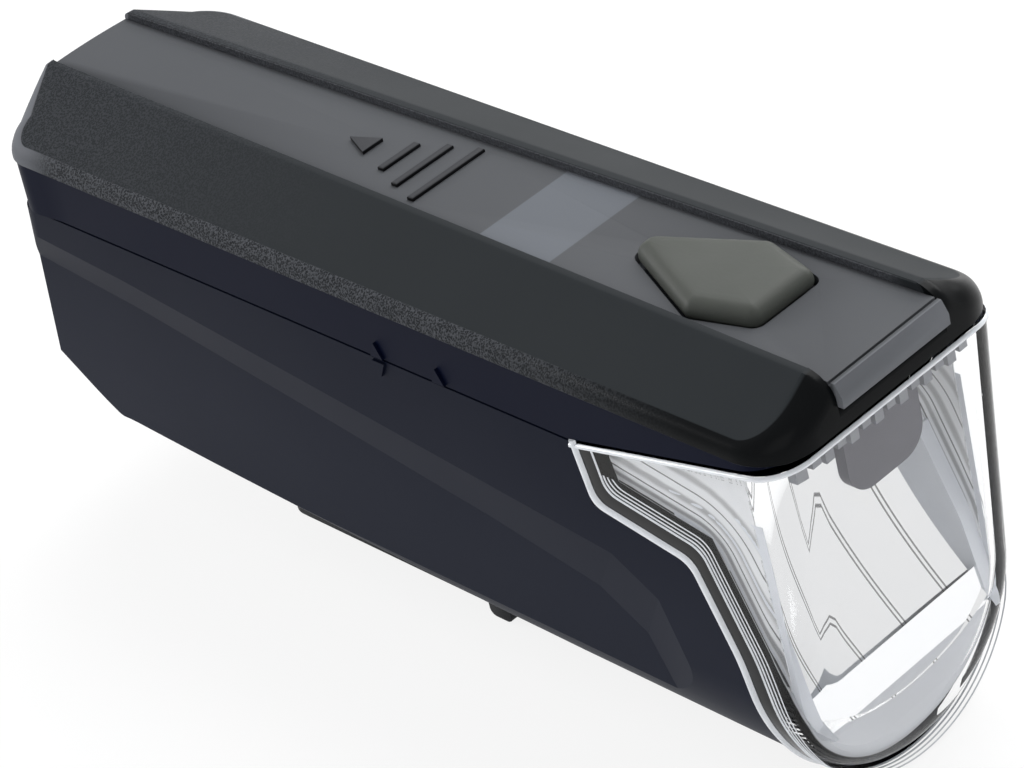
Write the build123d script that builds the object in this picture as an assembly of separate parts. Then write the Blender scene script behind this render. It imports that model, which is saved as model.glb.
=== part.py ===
from build123d import *
import os

os.makedirs("parts", exist_ok=True)

# A battery bicycle headlight. Lengths are in millimetres.
# Stations run forward from the rear end of the top cover, heights from the seam between cover and housing.
# At export everything moves so that the origin lies in the middle of the rail's underside, beam along +X.

# Frame of the finished part
rail_station = 46.8

# Cuts run past the material by this much
overrun = 5.0
far_away = 90.0

# Cells, which set the width and depth of everything round them
cell_radius = 7.25
cell_length = 50.5
cell_nub_length = 1.3
cell_nub_radius = 2.75
cell_round = 0.5
cell_space = 0.1
upper_cell_depth = 8.0
cell_offset = cell_radius + cell_space / 2
lower_cell_depth = upper_cell_depth + cell_radius * 2 + cell_space

# Cell bay and the walls round it
bay_room = 0.1
bay_floor_room = 0.25
bay_wall = 2.75
bay_floor = 1.7
bay_half = cell_offset + cell_radius + bay_room
bay_depth = lower_cell_depth + cell_radius + bay_floor_room

# Outer form of housing and lens
side_half = bay_half + bay_wall
rear_seam_station = 0.6
rear_foot_station = -3.2
rear_foot_depth = 24.4
heel_station = 6.9
heel_depth = bay_depth + bay_floor
rail_drop = 8.5
rail_depth = heel_depth + rail_drop
keel_drop = 2.7
keel_depth = rail_depth + keel_drop
toe_station = 110.0
toe_depth = 39.0
keel_station = 118.6
front_foot_station = 124.6
front_lean_share = 0.08
rear_round = 3.4
bilge_round = 4.0
front_round = 4.4

# Lower housing
seam_gap = 0.3
bay_round = 5.0
bay_rear_station = 6.6
front_wall_station = 94.8
front_wall = 2.0
spigot_inset = 4.2
spigot_wall = 1.4
spigot_reach = 4.0
spigot_top_drop = 1.9

# Bevelled band and the recess below it, as (station, depth) pairs
recess_depth = 1.3
recess_outer = [
    (-12.0, 3.2), (19.0, 5.4), (50.6, 8.8), (78.6, 11.9), (99.5, 14.2), (105.6, 18.0), (110.0, 31.0),
    (111.5, 56.0), (-12.0, 56.0),
]
recess_inner = [
    (-12.0, 7.6), (19.0, 10.4), (50.6, 14.7), (78.6, 18.7), (94.6, 21.6), (101.0, 25.6), (105.0, 35.0),
    (106.5, 54.0), (-12.0, 54.0),
]

# Marks at the seam
mark_width = 2.0
mark_height = 2.0
mark_proud = 0.35
closed_mark_station = 67.0
cover_travel = 10.0

# Top cover
cover_rear_station = 0.5
cover_front_station = 129.0
step_depth_share = 0.2
band_proud = 0.6
band_half = side_half + band_proud
step_height = 6.9
band_foot_height = 7.3
band_mid_height = 8.2
band_mid_proud = 0.35
band_mid_half = side_half + band_mid_proud
facet_inset = 0.7
facet_half = side_half - facet_inset
facet_height = 9.4
ridge_rear_half = 7.0
ridge_front_half = 9.35
ridge_height = 14.0
ridge_wall = 1.0
panel_height = 13.0
panel_thick = 1.4
cover_deck = 1.6
cover_wall = 1.7
cover_inner_shoulder = 2.2
cover_rear_round = 4.6
cover_front_round = 6.6
cover_rear_lip_round = 1.6
cover_front_lip_round = 3.2
rise_station = 96.8
rise_share = 0.22

# Hooks that hold the cover down
hook_stations = (20.0, 84.0)
hook_length = 5.0
hook_leg_thick = 0.65
hook_leg_gap = 0.25
hook_foot_reach = 1.4
hook_leg_outer = bay_half - hook_leg_gap
hook_leg_inner = hook_leg_outer - hook_leg_thick
hook_foot_outer = hook_leg_outer + hook_foot_reach
hook_foot_depth = 4.0
hook_foot_thick = 1.5
hook_root_height = 3.0
hook_root_foot = 0.6
hook_room = 0.3

# Top panel with its raised arrow and bars and its turned-down nose
panel_side_gap = 0.05
nose_reach = 0.75
nose_foot_height = 10.2
nose_thick = 1.1
nose_groove = 0.35
nose_groove_deep = 0.4
nose_groove_setback = 0.9
nose_pocket_gap = 0.1
arrow_tip_station = 47.8
arrow_base_station = 51.7
arrow_half = 1.6
bar_stations = (56.1, 60.0, 63.9)
bar_half_lengths = (2.95, 4.5, 5.7)
bar_width = 1.0
bar_proud = 0.5

# Power button
pad_rear_station = 94.8
pad_rear_half = 1.3
pad_wide_station = 107.4
pad_wide_half = 6.9
pad_front_station = 115.4
pad_front_half = 4.7
pad_round = 1.1
pad_foot_height = 12.5
pad_top_height = 14.9
pad_bevel = 0.9
pad_gap = 0.35
stem_station = 107.0
stem_radius = 2.0
stem_foot_height = 8.6
stem_gap = 0.3
collar_radius = 3.0
collar_thick = 0.7
press_travel = 0.6

# Lens and its seal
lens_wall = 2.2
lens_edge_gap = 0.1
lens_top_gap = 0.25
lens_frame = [(96.8, -0.3), (98.4, 8.0), (111.9, 10.5), (116.2, 21.5), (118.8, 33.1), (119.9, 50.0)]

# Circuit board and its parts
board_rear_station = 66.0
board_front_station = 112.0
board_half = 12.0
board_height = 4.5
board_thick = 1.6
switch_half = 3.0
switch_tall = 1.6
switch_floor = 0.2
plunger_radius = 1.6
plunger_gap = 0.1
plunger_top = 2.4
glow_station = 110.2
glow_offset = 4.2
glow_half = 0.8
glow_tall = 0.7
coil_station = 82.0
coil_offset = 4.5
coil_half = 3.5
coil_tall = 3.0
coil_core_radius = 2.6
coil_core_tall = 0.4
chip_station = 82.0
chip_offset = -4.5
chip_half = 2.5
chip_tall = 1.0

# Heat sink with its fins and its arm to the LED
sink_rear_station = 62.6
sink_front_station = 100.0
sink_inset = 1.35
sink_half = bay_half - sink_inset
sink_thick = 1.2
arm_front_station = 122.6
arm_half = 7.0
fin_rear_station = 70.0
fin_front_station = 92.0
fin_depth = 22.0
fin_thick = 1.6
fin_count = 6
fin_pitch = 4.0
post_rear_station = 71.0
post_front_station = 92.0
post_stations = (post_rear_station, post_front_station)
post_offset = 9.5
post_radius = 2.25
prop_half = 1.5

# Small screws
screw_radius = 1.0
screw_gap = 0.05
screw_head_radius = 1.9
screw_head_tall = 1.3
screw_slot = 0.6
screw_slot_deep = 0.5
board_screw_reach = 4.6
board_hole_gap = 0.15
reflector_screw_offset = 9.0
reflector_screw_depth = 14.0
reflector_screw_reach = 3.4

# LED and its board
led_board_rear_station = 114.5
led_board_front_station = 122.5
led_board_half = 5.0
led_board_thick = 1.0
led_station = 119.0
led_half = 1.75
led_tall = 0.7
led_dome_radius = 1.5

# Hood: deck over the optics and tongue in front of the LED
hood_rear_station = 100.2
hood_front_station = 125.0
hood_inset = 2.6
hood_half = side_half - hood_inset
hood_thick = 1.3
hood_window_gap = 0.5
tongue_half = 5.8
tongue_depth = 4.6
tongue_round = 3.4
tongue_thick = 1.5
tooth_pitch = 2.9
tooth_width = 1.7
tooth_count = 9
tooth_reach = 0.8

# Reflector: paraboloid about a line along the beam through the LED
focus_station = 119.0
focus_depth = 4.0
focal_length = 13.1
mirror_reach = 31.0
mirror_thick = 1.6
mirror_step = 0.5
mirror_strip_half = 4.8
mirror_front_station = 123.0
mirror_top_drop = 2.4
mirror_side_inset = 4.5
mirror_front_inset = 3.2
mirror_frame_gap = 0.3
flange_thick = 1.6
flange_half = 12.0
flange_top_drop = 3.0
flange_foot_depth = bay_depth - bay_room
web_offset = 8.0
web_thick = 1.6

# Contacts and leads
plate_thick = 0.4
plate_half = 5.5
dimple_radius = 2.4
dimple_tall = 0.8
spring_radius = 3.4
spring_wire = 0.35
spring_turns = 3
bulkhead_station = 62.6
bulkhead_thick = 2.0
bulkhead_top_drop = 0.25
rivet_radius = 0.8
rivet_gap = 0.1
rivet_reach = 0.6
negative_rivet_offset = -2.5
lead_radius = 0.6
lead_gap = 0.4
lead_run = 2.6
lead_bend = 1.4

# Mount rail
rail_rear_station = 29.5
rail_front_station = 64.0
rail_half = 10.5
rail_plate = 2.5
rail_neck_half = 7.5
rail_corner = 3.0
rail_screw_rear_station = 36.0
rail_screw_front_station = 50.0
rail_screw_stations = (rail_screw_rear_station, rail_screw_front_station)
rail_screw_offset = 4.2
rail_screw_radius = 1.4
rail_screw_gap = 0.1
rail_head_radius = 2.6
rail_head_tall = 1.5
rail_head_gap = 0.2
rail_head_sink = 0.2
rail_screw_tip_space = 0.2
rail_screw_depth = heel_depth - rail_screw_tip_space

# Release latch
pin_station = 67.3
pin_depth = 38.5
pin_radius = 0.7
pin_gap = 0.1
barrel_radius = 1.4
barrel_half = 6.7
lug_inner = 7.0
lug_outer = 8.6
lug_front_station = 69.0
lug_foot_depth = 39.4
tab_rear_station = 64.6
tab_front_station = 68.4
tab_half = 9.8
tab_wing_depth = 40.1
tab_root_depth = 39.2
tab_foot_depth = 43.0
tab_round = 1.0
arm_rear_station = 58.0
latch_arm_half = 5.0
latch_arm_rise = 2.0
latch_arm_top_depth = rail_depth - latch_arm_rise
latch_arm_foot_depth = 39.9
tooth_front_station = 60.0
tooth_foot_depth = 41.2
latch_slot_gap = 0.5
return_spring_station = 60.6
return_spring_radius = 1.5
return_spring_wire = 0.25
return_spring_turns = 3


def side_solid(points, half):
    """Solid from (station, height) points, as wide as half on either side of the middle plane."""
    outline = Plane.XZ * make_face(Polyline(*points, close=True))
    return extrude(outline, amount=half, both=True)


def block(x_start, x_end, y_start, y_end, z_start, z_end):
    """Box between two stations, two offsets and two heights."""
    size = Box(x_end - x_start, y_end - y_start, z_end - z_start, align=(Align.MIN, Align.MIN, Align.MIN))
    return Pos(x_start, y_start, z_start) * size


def post(x, y, z_start, z_end, radius):
    """Upright cylinder between two heights."""
    body = Cylinder(radius, z_end - z_start, align=(Align.CENTER, Align.CENTER, Align.MIN))
    return Pos(x, y, z_start) * body


def rod(x_start, x_end, y, z, radius):
    """Cylinder lying along the beam between two stations."""
    body = Cylinder(radius, x_end - x_start, align=(Align.CENTER, Align.CENTER, Align.MIN))
    return Pos(x_start, y, z) * Rot(0, 90, 0) * body


def rise(station):
    """Height of the cover's lower edge line ahead of the lens tip: the distance past it times the share."""
    return (station - rise_station) * rise_share


def slope_slab(x_start, x_end, half, drop, thick):
    """Slab that follows the rising edge line, its top face lower than the line by drop."""
    top = [(x_start, rise(x_start) - drop), (x_end, rise(x_end) - drop)]
    foot = [(x_end, rise(x_end) - drop - thick), (x_start, rise(x_start) - drop - thick)]
    return side_solid(top + foot, half)


def front_station(height):
    """Station of the leaning front face at a height: it leans back towards the keel."""
    return front_foot_station + (height + keel_depth) * front_lean_share


def outer_form(inset):
    """Whole outer form below the cover, shrunk by inset on every side."""
    radius = side_half - inset
    centre = side_half - keel_depth
    keel = Pos(0, 0, centre) * Rot(0, 90, 0) * Cylinder(radius, far_away * 4)
    walls = block(-far_away, far_away * 2, -radius, radius, centre, far_away)
    top = overrun * 4
    rear_lean_share = (rear_seam_station - rear_foot_station) / rear_foot_depth
    profile = [
        (rear_seam_station + top * rear_lean_share, top),
        (rear_foot_station, -rear_foot_depth),
        (heel_station, -heel_depth),
        (toe_station, -toe_depth),
        (keel_station, -keel_depth),
        (front_foot_station, -keel_depth),
        (front_station(top), top),
    ]
    outline = make_face(Polyline(*profile, close=True))
    if inset > 0:
        outline = offset(outline, amount=-inset, kind=Kind.INTERSECTION)
    form = (keel + walls) & extrude(Plane.XZ * outline, amount=far_away, both=True)
    return form


def rounded_form(inset):
    """Outer form with its rear corners and its front rim rounded."""
    form = outer_form(inset)
    front_edges = form.edges().filter_by(lambda e: e.center().X > keel_station + overrun / 2)
    front_edges = front_edges.filter_by(lambda e: abs(e.center().Z) < keel_depth)
    front_edges = front_edges.filter_by(lambda e: e.center().Z < overrun * 3)
    form = fillet(front_edges, max(front_round - inset, front_round / 4))
    if inset == 0:
        rear_edges = form.edges().filter_by(lambda e: e.center().X < heel_station)
        rear_edges = rear_edges.filter_by(lambda e: abs(e.center().Y) > bay_half)
        form = fillet(rear_edges, rear_round)
        keel_edges = form.edges().filter_by(lambda e: heel_station < e.center().X < toe_station)
        keel_edges = keel_edges.filter_by(lambda e: e.center().Z < -heel_depth)
        keel_edges = keel_edges.filter_by(lambda e: abs(e.center().Y) > rail_half)
        form = fillet(keel_edges, bilge_round)
    return form


def lens_region(grow):
    """Everything ahead of the line where lens and housing meet, grown backwards by grow."""
    points = [(x, -depth) for x, depth in lens_frame]
    outline = [(lens_frame[0][0], far_away)] + points[:-1] + [
        (lens_frame[-1][0], -far_away), (far_away * 3, -far_away), (far_away * 3, far_away),
    ]
    face = make_face(Polyline(*outline, close=True))
    if grow != 0:
        face = offset(face, amount=grow, kind=Kind.INTERSECTION)
    return extrude(Plane.XZ * face, amount=far_away, both=True)


def below_line(drop):
    """Everything under the seam and under the rising edge line, lower by drop."""
    front = far_away * 2
    points = [
        (-far_away, -drop), (rise_station, -drop), (front, rise(front) - drop), (front, -far_away),
        (-far_away, -far_away),
    ]
    return side_solid(points, far_away)


def recess_cutter(side):
    """Cuts the lower side back, with the bevelled band as the wall of the cut."""
    outer_plane = Plane(origin=(0, side * side_half, 0), x_dir=(1, 0, 0), z_dir=(0, -1, 0))
    inner_plane = Plane(origin=(0, side * (side_half - recess_depth), 0), x_dir=(1, 0, 0), z_dir=(0, -1, 0))
    outer = outer_plane * make_face(Polyline(*[(x, -depth) for x, depth in recess_outer], close=True))
    inner = inner_plane * make_face(Polyline(*[(x, -depth) for x, depth in recess_inner], close=True))
    return loft([outer, inner], ruled=True)


def seam_mark(station, side, up):
    """Small raised triangle beside the seam: up is 1 above it and -1 below it."""
    foot = up * seam_gap
    tip = up * (seam_gap + mark_height)
    points = [(station - mark_width / 2, foot), (station + mark_width / 2, foot), (station, tip)]
    plane = Plane(origin=(0, side * (side_half - mark_proud), 0), x_dir=(1, 0, 0), z_dir=(0, -1, 0))
    return extrude(plane * make_face(Polyline(*points, close=True)), amount=-side * mark_proud * 2)


def hook_slots():
    """Grooves in the housing's rim: a run under the rim and an open way up at its rear end."""
    slots = None
    for station in hook_stations:
        start = station - cover_travel - hook_length / 2 - hook_room
        end = station + hook_length / 2 + hook_room
        foot = -hook_foot_depth - hook_room
        roof = hook_foot_thick - hook_foot_depth + hook_room
        for side in (-1, 1):
            y_pair = sorted((side * (bay_half - hook_room), side * (hook_foot_outer + hook_room)))
            run = block(start, end, y_pair[0], y_pair[1], foot, roof)
            way = block(start, start + hook_length + hook_room * 2, y_pair[0], y_pair[1], foot, overrun)
            slots = run + way if slots is None else slots + run + way
    return slots


def bay_form(x_start, x_end, z_top):
    """Round-cornered box that the cells lie in."""
    section = Plane.YZ * RectangleRounded(bay_half * 2, bay_depth * 2, bay_round)
    body = Pos(x_start, 0, 0) * extrude(section, amount=x_end - x_start)
    return body & block(x_start, x_end, -far_away, far_away, -far_away, z_top)


def make_lower_housing(form):
    """Tub with cell bay, front wall and the spigot that the lens sits on."""
    body = form & below_line(seam_gap / 2)
    body -= block(rise_station, far_away * 2, -far_away, far_away, -seam_gap / 2, far_away)
    for side in (-1, 1):
        body -= recess_cutter(side)
        body += seam_mark(closed_mark_station, side, -1)
    body -= lens_region(0)
    body -= bay_form(bay_rear_station, front_wall_station, far_away)
    body -= hook_slots()
    chamber = outer_form(spigot_inset) & block(
        front_wall_station + front_wall, far_away * 2, -far_away, far_away, -far_away, far_away,
    )
    body -= chamber
    body -= block(
        front_wall_station, rise_station + front_wall, -sink_half - hook_room, sink_half + hook_room,
        -bulkhead_top_drop, far_away,
    )
    ring = outer_form(spigot_inset - spigot_wall) - outer_form(spigot_inset)
    ring &= lens_region(spigot_wall) - lens_region(-spigot_reach)
    ring &= below_line(spigot_top_drop)
    ring &= block(front_wall_station + front_wall, far_away * 2, -far_away, far_away, -far_away, far_away)
    body += ring
    for station in rail_screw_stations:
        for offset_y in (-rail_screw_offset, rail_screw_offset):
            body -= post(
                station, offset_y, -far_away, -rail_screw_depth + rail_screw_gap,
                rail_screw_radius + screw_gap,
            )
    for offset_y in (-reflector_screw_offset, reflector_screw_offset):
        start = front_wall_station - overrun
        body -= rod(
            start, front_wall_station + front_wall + overrun, offset_y, -reflector_screw_depth,
            screw_radius + board_hole_gap,
        )
    return body


def cover_section(station, share):
    """Outline of the cover across the beam at one end: share is 0 at the rear and 1 at the front."""
    ridge = ridge_rear_half + (ridge_front_half - ridge_rear_half) * share
    right = [
        (side_half, 0),
        (side_half - step_depth_share, step_height),
        (band_half, band_foot_height),
        (band_mid_half, band_mid_height),
        (facet_half, facet_height),
        (ridge, ridge_height),
        (ridge - ridge_wall, panel_height),
        (ridge - ridge_wall, panel_height - panel_thick),
    ]
    left = [(-y, z) for y, z in reversed(right)]
    plane = Plane(origin=(station, 0, 0), x_dir=(0, 1, 0), z_dir=(1, 0, 0))
    return plane * make_face(Polyline(*(right + left), close=True))


def plan_form(rear, front, half, rear_round_size, front_round_size):
    """Upright form with rounded corners seen from above."""
    body = block(rear, front, -half, half, -overrun, ridge_height + overrun)
    uprights = body.edges().filter_by(Axis.Z)
    rear_edges = uprights.sort_by(Axis.X)[:2]
    body = fillet(rear_edges, rear_round_size)
    front_edges = body.edges().filter_by(Axis.Z).sort_by(Axis.X)[-2:]
    return fillet(front_edges, front_round_size)


def profile_form(rear, front):
    """Form across the beam with rounded upper ends seen from the side."""
    body = block(rear, front, -far_away, far_away, -overrun, ridge_height)
    top_edges = body.edges().filter_by(Axis.Y).group_by(Axis.Z)[-1].sort_by(Axis.X)
    body = fillet(top_edges[0], cover_rear_lip_round)
    near_front = front - cover_front_lip_round / 4
    top_edges = body.edges().filter_by(Axis.Y).filter_by(lambda e: e.center().X > near_front)
    return fillet(top_edges.sort_by(Axis.Z)[-1], cover_front_lip_round)


def hooks():
    """Legs with outward feet that run under the housing's rim."""
    group = None
    for station in hook_stations:
        start = station - hook_length / 2
        end = station + hook_length / 2
        for side in (-1, 1):
            leg_y = sorted((side * hook_leg_inner, side * hook_leg_outer))
            foot_y = sorted((side * hook_leg_inner, side * hook_foot_outer))
            root_y = sorted((side * hook_leg_inner, side * (side_half - cover_wall / 2)))
            leg = block(start, end, leg_y[0], leg_y[1], -hook_foot_depth, hook_root_height)
            foot = block(
                start, end, foot_y[0], foot_y[1], -hook_foot_depth, hook_foot_thick - hook_foot_depth,
            )
            root = block(start, end, root_y[0], root_y[1], hook_root_foot, hook_root_height)
            piece = leg + foot + root
            group = piece if group is None else group + piece
    return group


def make_top_cover():
    """Sliding cover: sloped facets, ridges with the panel channel between them, front lip and hooks."""
    body = loft([cover_section(cover_rear_station, 0), cover_section(cover_front_station, 1)], ruled=True)
    body &= plan_form(cover_rear_station, cover_front_station, band_half, cover_rear_round, cover_front_round)
    body &= profile_form(cover_rear_station, cover_front_station)
    inner_half = side_half - cover_wall
    deck_foot = panel_height - panel_thick - cover_deck
    inner = [
        (inner_half, -overrun),
        (inner_half, step_height),
        (facet_half - cover_inner_shoulder, facet_height - cover_wall),
        (ridge_front_half, deck_foot),
    ]
    outline = inner + [(-y, z) for y, z in reversed(inner)]
    hollow = extrude(Plane.YZ * make_face(Polyline(*outline, close=True)), amount=cover_front_station)
    hollow &= plan_form(
        cover_rear_station + cover_wall, cover_front_station - cover_wall, inner_half,
        cover_rear_round - cover_wall, cover_front_round - cover_wall,
    )
    body -= hollow
    body -= below_line(-seam_gap / 2)
    body -= nose_pocket()
    for side in (-1, 1):
        body += seam_mark(closed_mark_station, side, 1)
        body += seam_mark(closed_mark_station + cover_travel, side, 1)
    body += hooks()
    body -= post(stem_station, 0, deck_foot - overrun, panel_height, stem_radius + stem_gap)
    return body


def nose_half():
    """Half width of the panel at its front end."""
    return ridge_front_half - ridge_wall - panel_side_gap


def nose_pocket():
    """Notch in the front of the cover that the panel's nose hangs in."""
    rear = cover_front_station - nose_thick - nose_pocket_gap
    foot = nose_foot_height - nose_pocket_gap
    half = nose_half() + nose_pocket_gap
    return block(rear, cover_front_station + overrun, -half, half, foot, ridge_height + overrun)


def pad_outline(grow):
    """Six-sided outline of the button, pointed to the rear."""
    points = [
        (pad_rear_station, pad_rear_half),
        (pad_wide_station, pad_wide_half),
        (pad_front_station, pad_front_half),
        (pad_front_station, -pad_front_half),
        (pad_wide_station, -pad_wide_half),
        (pad_rear_station, -pad_rear_half),
    ]
    face = make_face(Polyline(*points, close=True))
    face = fillet(face.vertices(), pad_round)
    if grow > 0:
        face = offset(face, amount=grow, kind=Kind.ARC)
    return face


def make_top_panel():
    """Grey panel in the channel, with raised bars, button hole and turned-down nose."""
    foot = panel_height - panel_thick
    rear_half = ridge_rear_half - ridge_wall - panel_side_gap
    points = [
        (cover_rear_station, rear_half),
        (cover_front_station - nose_thick, nose_half()),
        (cover_front_station - nose_thick, -nose_half()),
        (cover_rear_station, -rear_half),
    ]
    body = extrude(Plane.XY.offset(foot) * make_face(Polyline(*points, close=True)), amount=panel_thick)
    front = cover_front_station
    nose = [
        (front - nose_thick, panel_height),
        (front, panel_height),
        (front + nose_reach, panel_height - nose_reach * 2),
        (front + nose_reach, nose_foot_height),
        (front - nose_thick, nose_foot_height),
    ]
    body += side_solid(nose, nose_half())
    groove_start = front - nose_groove_setback
    body -= block(
        groove_start, groove_start + nose_groove, -band_half, band_half, panel_height - nose_groove_deep,
        panel_height + overrun,
    )
    tip = (arrow_tip_station, 0)
    near_base = (arrow_base_station, -arrow_half)
    far_base = (arrow_base_station, arrow_half)
    arrow = make_face(Polyline(tip, far_base, near_base, close=True))
    body += extrude(Plane.XY.offset(foot) * arrow, amount=panel_thick + bar_proud)
    for station, half in zip(bar_stations, bar_half_lengths):
        bar = block(
            station - bar_width / 2, station + bar_width / 2, -half, half, foot, panel_height + bar_proud,
        )
        bar_top = bar.edges().group_by(Axis.Z)[-1]
        body += fillet(bar_top, bar_proud / 2)
    body -= extrude(Plane.XY.offset(foot - overrun) * pad_outline(pad_gap), amount=overrun * 3)
    return body & profile_form(cover_rear_station, cover_front_station + overrun * 2)


def make_power_button():
    """Silicone pad with a bevelled top, its stem and the collar that keeps it in the cover."""
    deck_foot = panel_height - panel_thick - cover_deck
    pad = extrude(Plane.XY.offset(pad_foot_height) * pad_outline(0), amount=pad_top_height - pad_foot_height)
    pad = chamfer(pad.edges().group_by(Axis.Z)[-1], pad_bevel)
    stem = post(stem_station, 0, stem_foot_height, pad_foot_height + pad_bevel, stem_radius)
    collar = post(stem_station, 0, deck_foot - collar_thick, deck_foot, collar_radius)
    return pad + stem + collar


def make_lens(form, inner):
    """Clear shell that wraps round the front, with a wing on either side."""
    body = form - inner
    body &= lens_region(-lens_edge_gap)
    body &= below_line(lens_top_gap)
    return body


def make_lens_seal(inner):
    """Black rubber band between the lens and the housing's spigot."""
    ring = inner - outer_form(spigot_inset - spigot_wall)
    ring &= lens_region(-lens_edge_gap) - lens_region(-spigot_reach)
    return ring & below_line(spigot_top_drop)


def mirror_solid(setback, reach):
    """Everything inside a paraboloid, its vertex behind the focus by the focal length and the setback."""
    vertex = focus_station - focal_length - setback
    edge = vertex + reach * reach / (focal_length * 4)
    curve = Bezier((vertex, 0), (vertex, reach / 2), (edge, reach))
    rim = Line((edge, reach), (edge, 0))
    axis = Line((edge, 0), (vertex, 0))
    face = Plane.XZ * make_face(curve + rim + axis)
    return Pos(0, 0, -focus_depth) * revolve(face, Axis.X, 360)


def make_reflector():
    """Concave mirror with a middle strip set back, side webs and a flange against the front wall."""
    room = outer_form(mirror_side_inset)
    room += outer_form(mirror_front_inset) & lens_region(-spigot_reach - mirror_frame_gap)
    room &= block(
        front_wall_station, mirror_front_station, -far_away, far_away, -far_away, -mirror_top_drop,
    )
    strip = block(
        front_wall_station, far_away * 2, -mirror_strip_half, mirror_strip_half, -far_away, far_away,
    )
    reach = mirror_reach + overrun
    hollow = mirror_solid(0, reach) + (mirror_solid(mirror_step, reach) & strip)
    back = mirror_solid(mirror_thick + mirror_step, reach)
    shell = (back - hollow) & room
    start = front_wall_station + front_wall
    flange = block(
        start, start + flange_thick, -flange_half, flange_half, -flange_foot_depth, -flange_top_drop,
    )
    webs = None
    for side in (-1, 1):
        y_pair = sorted((side * web_offset, side * (web_offset + web_thick)))
        web = block(start, focus_station, y_pair[0], y_pair[1], -flange_foot_depth, -flange_top_drop)
        webs = web if webs is None else webs + web
    body = shell + (flange + (webs - hollow))
    for offset_y in (-reflector_screw_offset, reflector_screw_offset):
        body -= rod(
            start - overrun, start + flange_thick + overrun / 2, offset_y, -reflector_screw_depth,
            screw_radius + screw_gap,
        )
    return body


def make_led_hood():
    """Deck over the optics with the LED window, the tongue in front of the LED and a toothed edge."""
    deck = slope_slab(hood_rear_station, hood_front_station, hood_half, lens_top_gap, hood_thick)
    window = slope_slab(
        led_board_rear_station - hood_window_gap,
        led_board_front_station + hood_window_gap,
        led_board_half + hood_window_gap,
        -overrun,
        overrun * 3,
    )
    deck -= window
    top = rise(hood_front_station) - lens_top_gap
    tall = top - hood_thick / 2 + tongue_depth
    plate = RectangleRounded(tongue_half * 2, tall * 2, tongue_round)
    plane = Plane(
        origin=(hood_front_station - tongue_thick, 0, top - hood_thick / 2), x_dir=(0, 1, 0),
        z_dir=(1, 0, 0),
    )
    tongue = extrude(plane * plate, amount=tongue_thick)
    tongue &= block(0, far_away * 2, -far_away, far_away, -far_away, top - hood_thick / 2)
    body = deck + tongue
    for index in range(tooth_count):
        y = (index - (tooth_count - 1) / 2) * tooth_pitch
        start = hood_front_station - tooth_reach
        tooth = slope_slab(start, hood_front_station + tooth_reach, tooth_width / 2, lens_top_gap, hood_thick)
        body += Pos(0, y, 0) * tooth
    return body


def make_heat_sink():
    """Aluminium bridge plate with fins, board posts and the arm that carries the LED board."""
    top = sink_thick - lens_top_gap
    body = block(sink_rear_station, sink_front_station, -sink_half, sink_half, -lens_top_gap, top)
    for index in range(fin_count):
        y = (index - (fin_count - 1) / 2) * fin_pitch
        body += block(
            fin_rear_station, fin_front_station, y - fin_thick / 2, y + fin_thick / 2, -fin_depth,
            -lens_top_gap,
        )
    body += slope_slab(rise_station, arm_front_station, arm_half, lens_top_gap - sink_thick, sink_thick)
    body -= block(rise_station, sink_front_station, -far_away, -arm_half, -overrun, far_away)
    body -= block(rise_station, sink_front_station, arm_half, far_away, -overrun, far_away)
    for station in post_stations:
        for offset_y in (-post_offset, post_offset):
            body += post(station, offset_y, 0, board_height, post_radius)
            body -= post(
                station, offset_y, board_height - board_screw_reach, board_height + overrun,
                screw_radius + screw_gap,
            )
    body += block(
        stem_station - prop_half, stem_station + prop_half, -prop_half, prop_half,
        rise(stem_station + prop_half), board_height,
    )
    for offset_y in (-cell_offset, negative_rivet_offset):
        body -= post(lead_station(), offset_y, -overrun, overrun, lead_radius + lead_gap)
    return body


def lead_station():
    """Station of the upright run of both leads."""
    return bulkhead_station + bulkhead_thick + rivet_reach + lead_run


def make_main_board():
    """Circuit board with its screw holes."""
    body = block(
        board_rear_station, board_front_station, -board_half, board_half, board_height,
        board_height + board_thick,
    )
    for station in post_stations:
        for offset_y in (-post_offset, post_offset):
            body -= post(station, offset_y, 0, far_away, screw_radius + board_hole_gap)
    return body


def screw(radius, reach, head_radius, head_tall, slot, slot_deep):
    """Screw along +Z: shank from -reach to 0 and slotted head above."""
    shank = Cylinder(radius, reach, align=(Align.CENTER, Align.CENTER, Align.MAX))
    head = Cylinder(head_radius, head_tall, align=(Align.CENTER, Align.CENTER, Align.MIN))
    cut = Pos(0, 0, head_tall) * Box(head_radius * 4, slot, slot_deep * 2)
    return shank + (head - cut)


def make_board_screws():
    """Four screws that hold the board to the heat sink."""
    reach = board_screw_reach + board_thick - screw_gap * 2
    one = screw(screw_radius, reach, screw_head_radius, screw_head_tall, screw_slot, screw_slot_deep)
    top = board_height + board_thick
    return [Pos(x, y, top) * one for x in post_stations for y in (-post_offset, post_offset)]


def make_reflector_screws():
    """Two screws through the front wall into the reflector's flange."""
    one = screw(
        screw_radius, reflector_screw_reach, screw_head_radius, screw_head_tall, screw_slot,
        screw_slot_deep,
    )
    turned = Rot(0, -90, 0) * one
    offsets = (-reflector_screw_offset, reflector_screw_offset)
    return [Pos(front_wall_station, y, -reflector_screw_depth) * turned for y in offsets]


def make_push_switch():
    """Square switch with a well for its plunger."""
    top = board_height + board_thick
    body = block(
        stem_station - switch_half, stem_station + switch_half, -switch_half, switch_half, top,
        top + switch_tall,
    )
    return body - post(stem_station, 0, top + switch_floor, top + overrun, plunger_radius + plunger_gap)


def make_switch_plunger():
    """Plunger of the switch."""
    top = board_height + board_thick
    foot = top + switch_floor + press_travel + plunger_gap
    return post(stem_station, 0, foot, top + plunger_top, plunger_radius)


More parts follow.
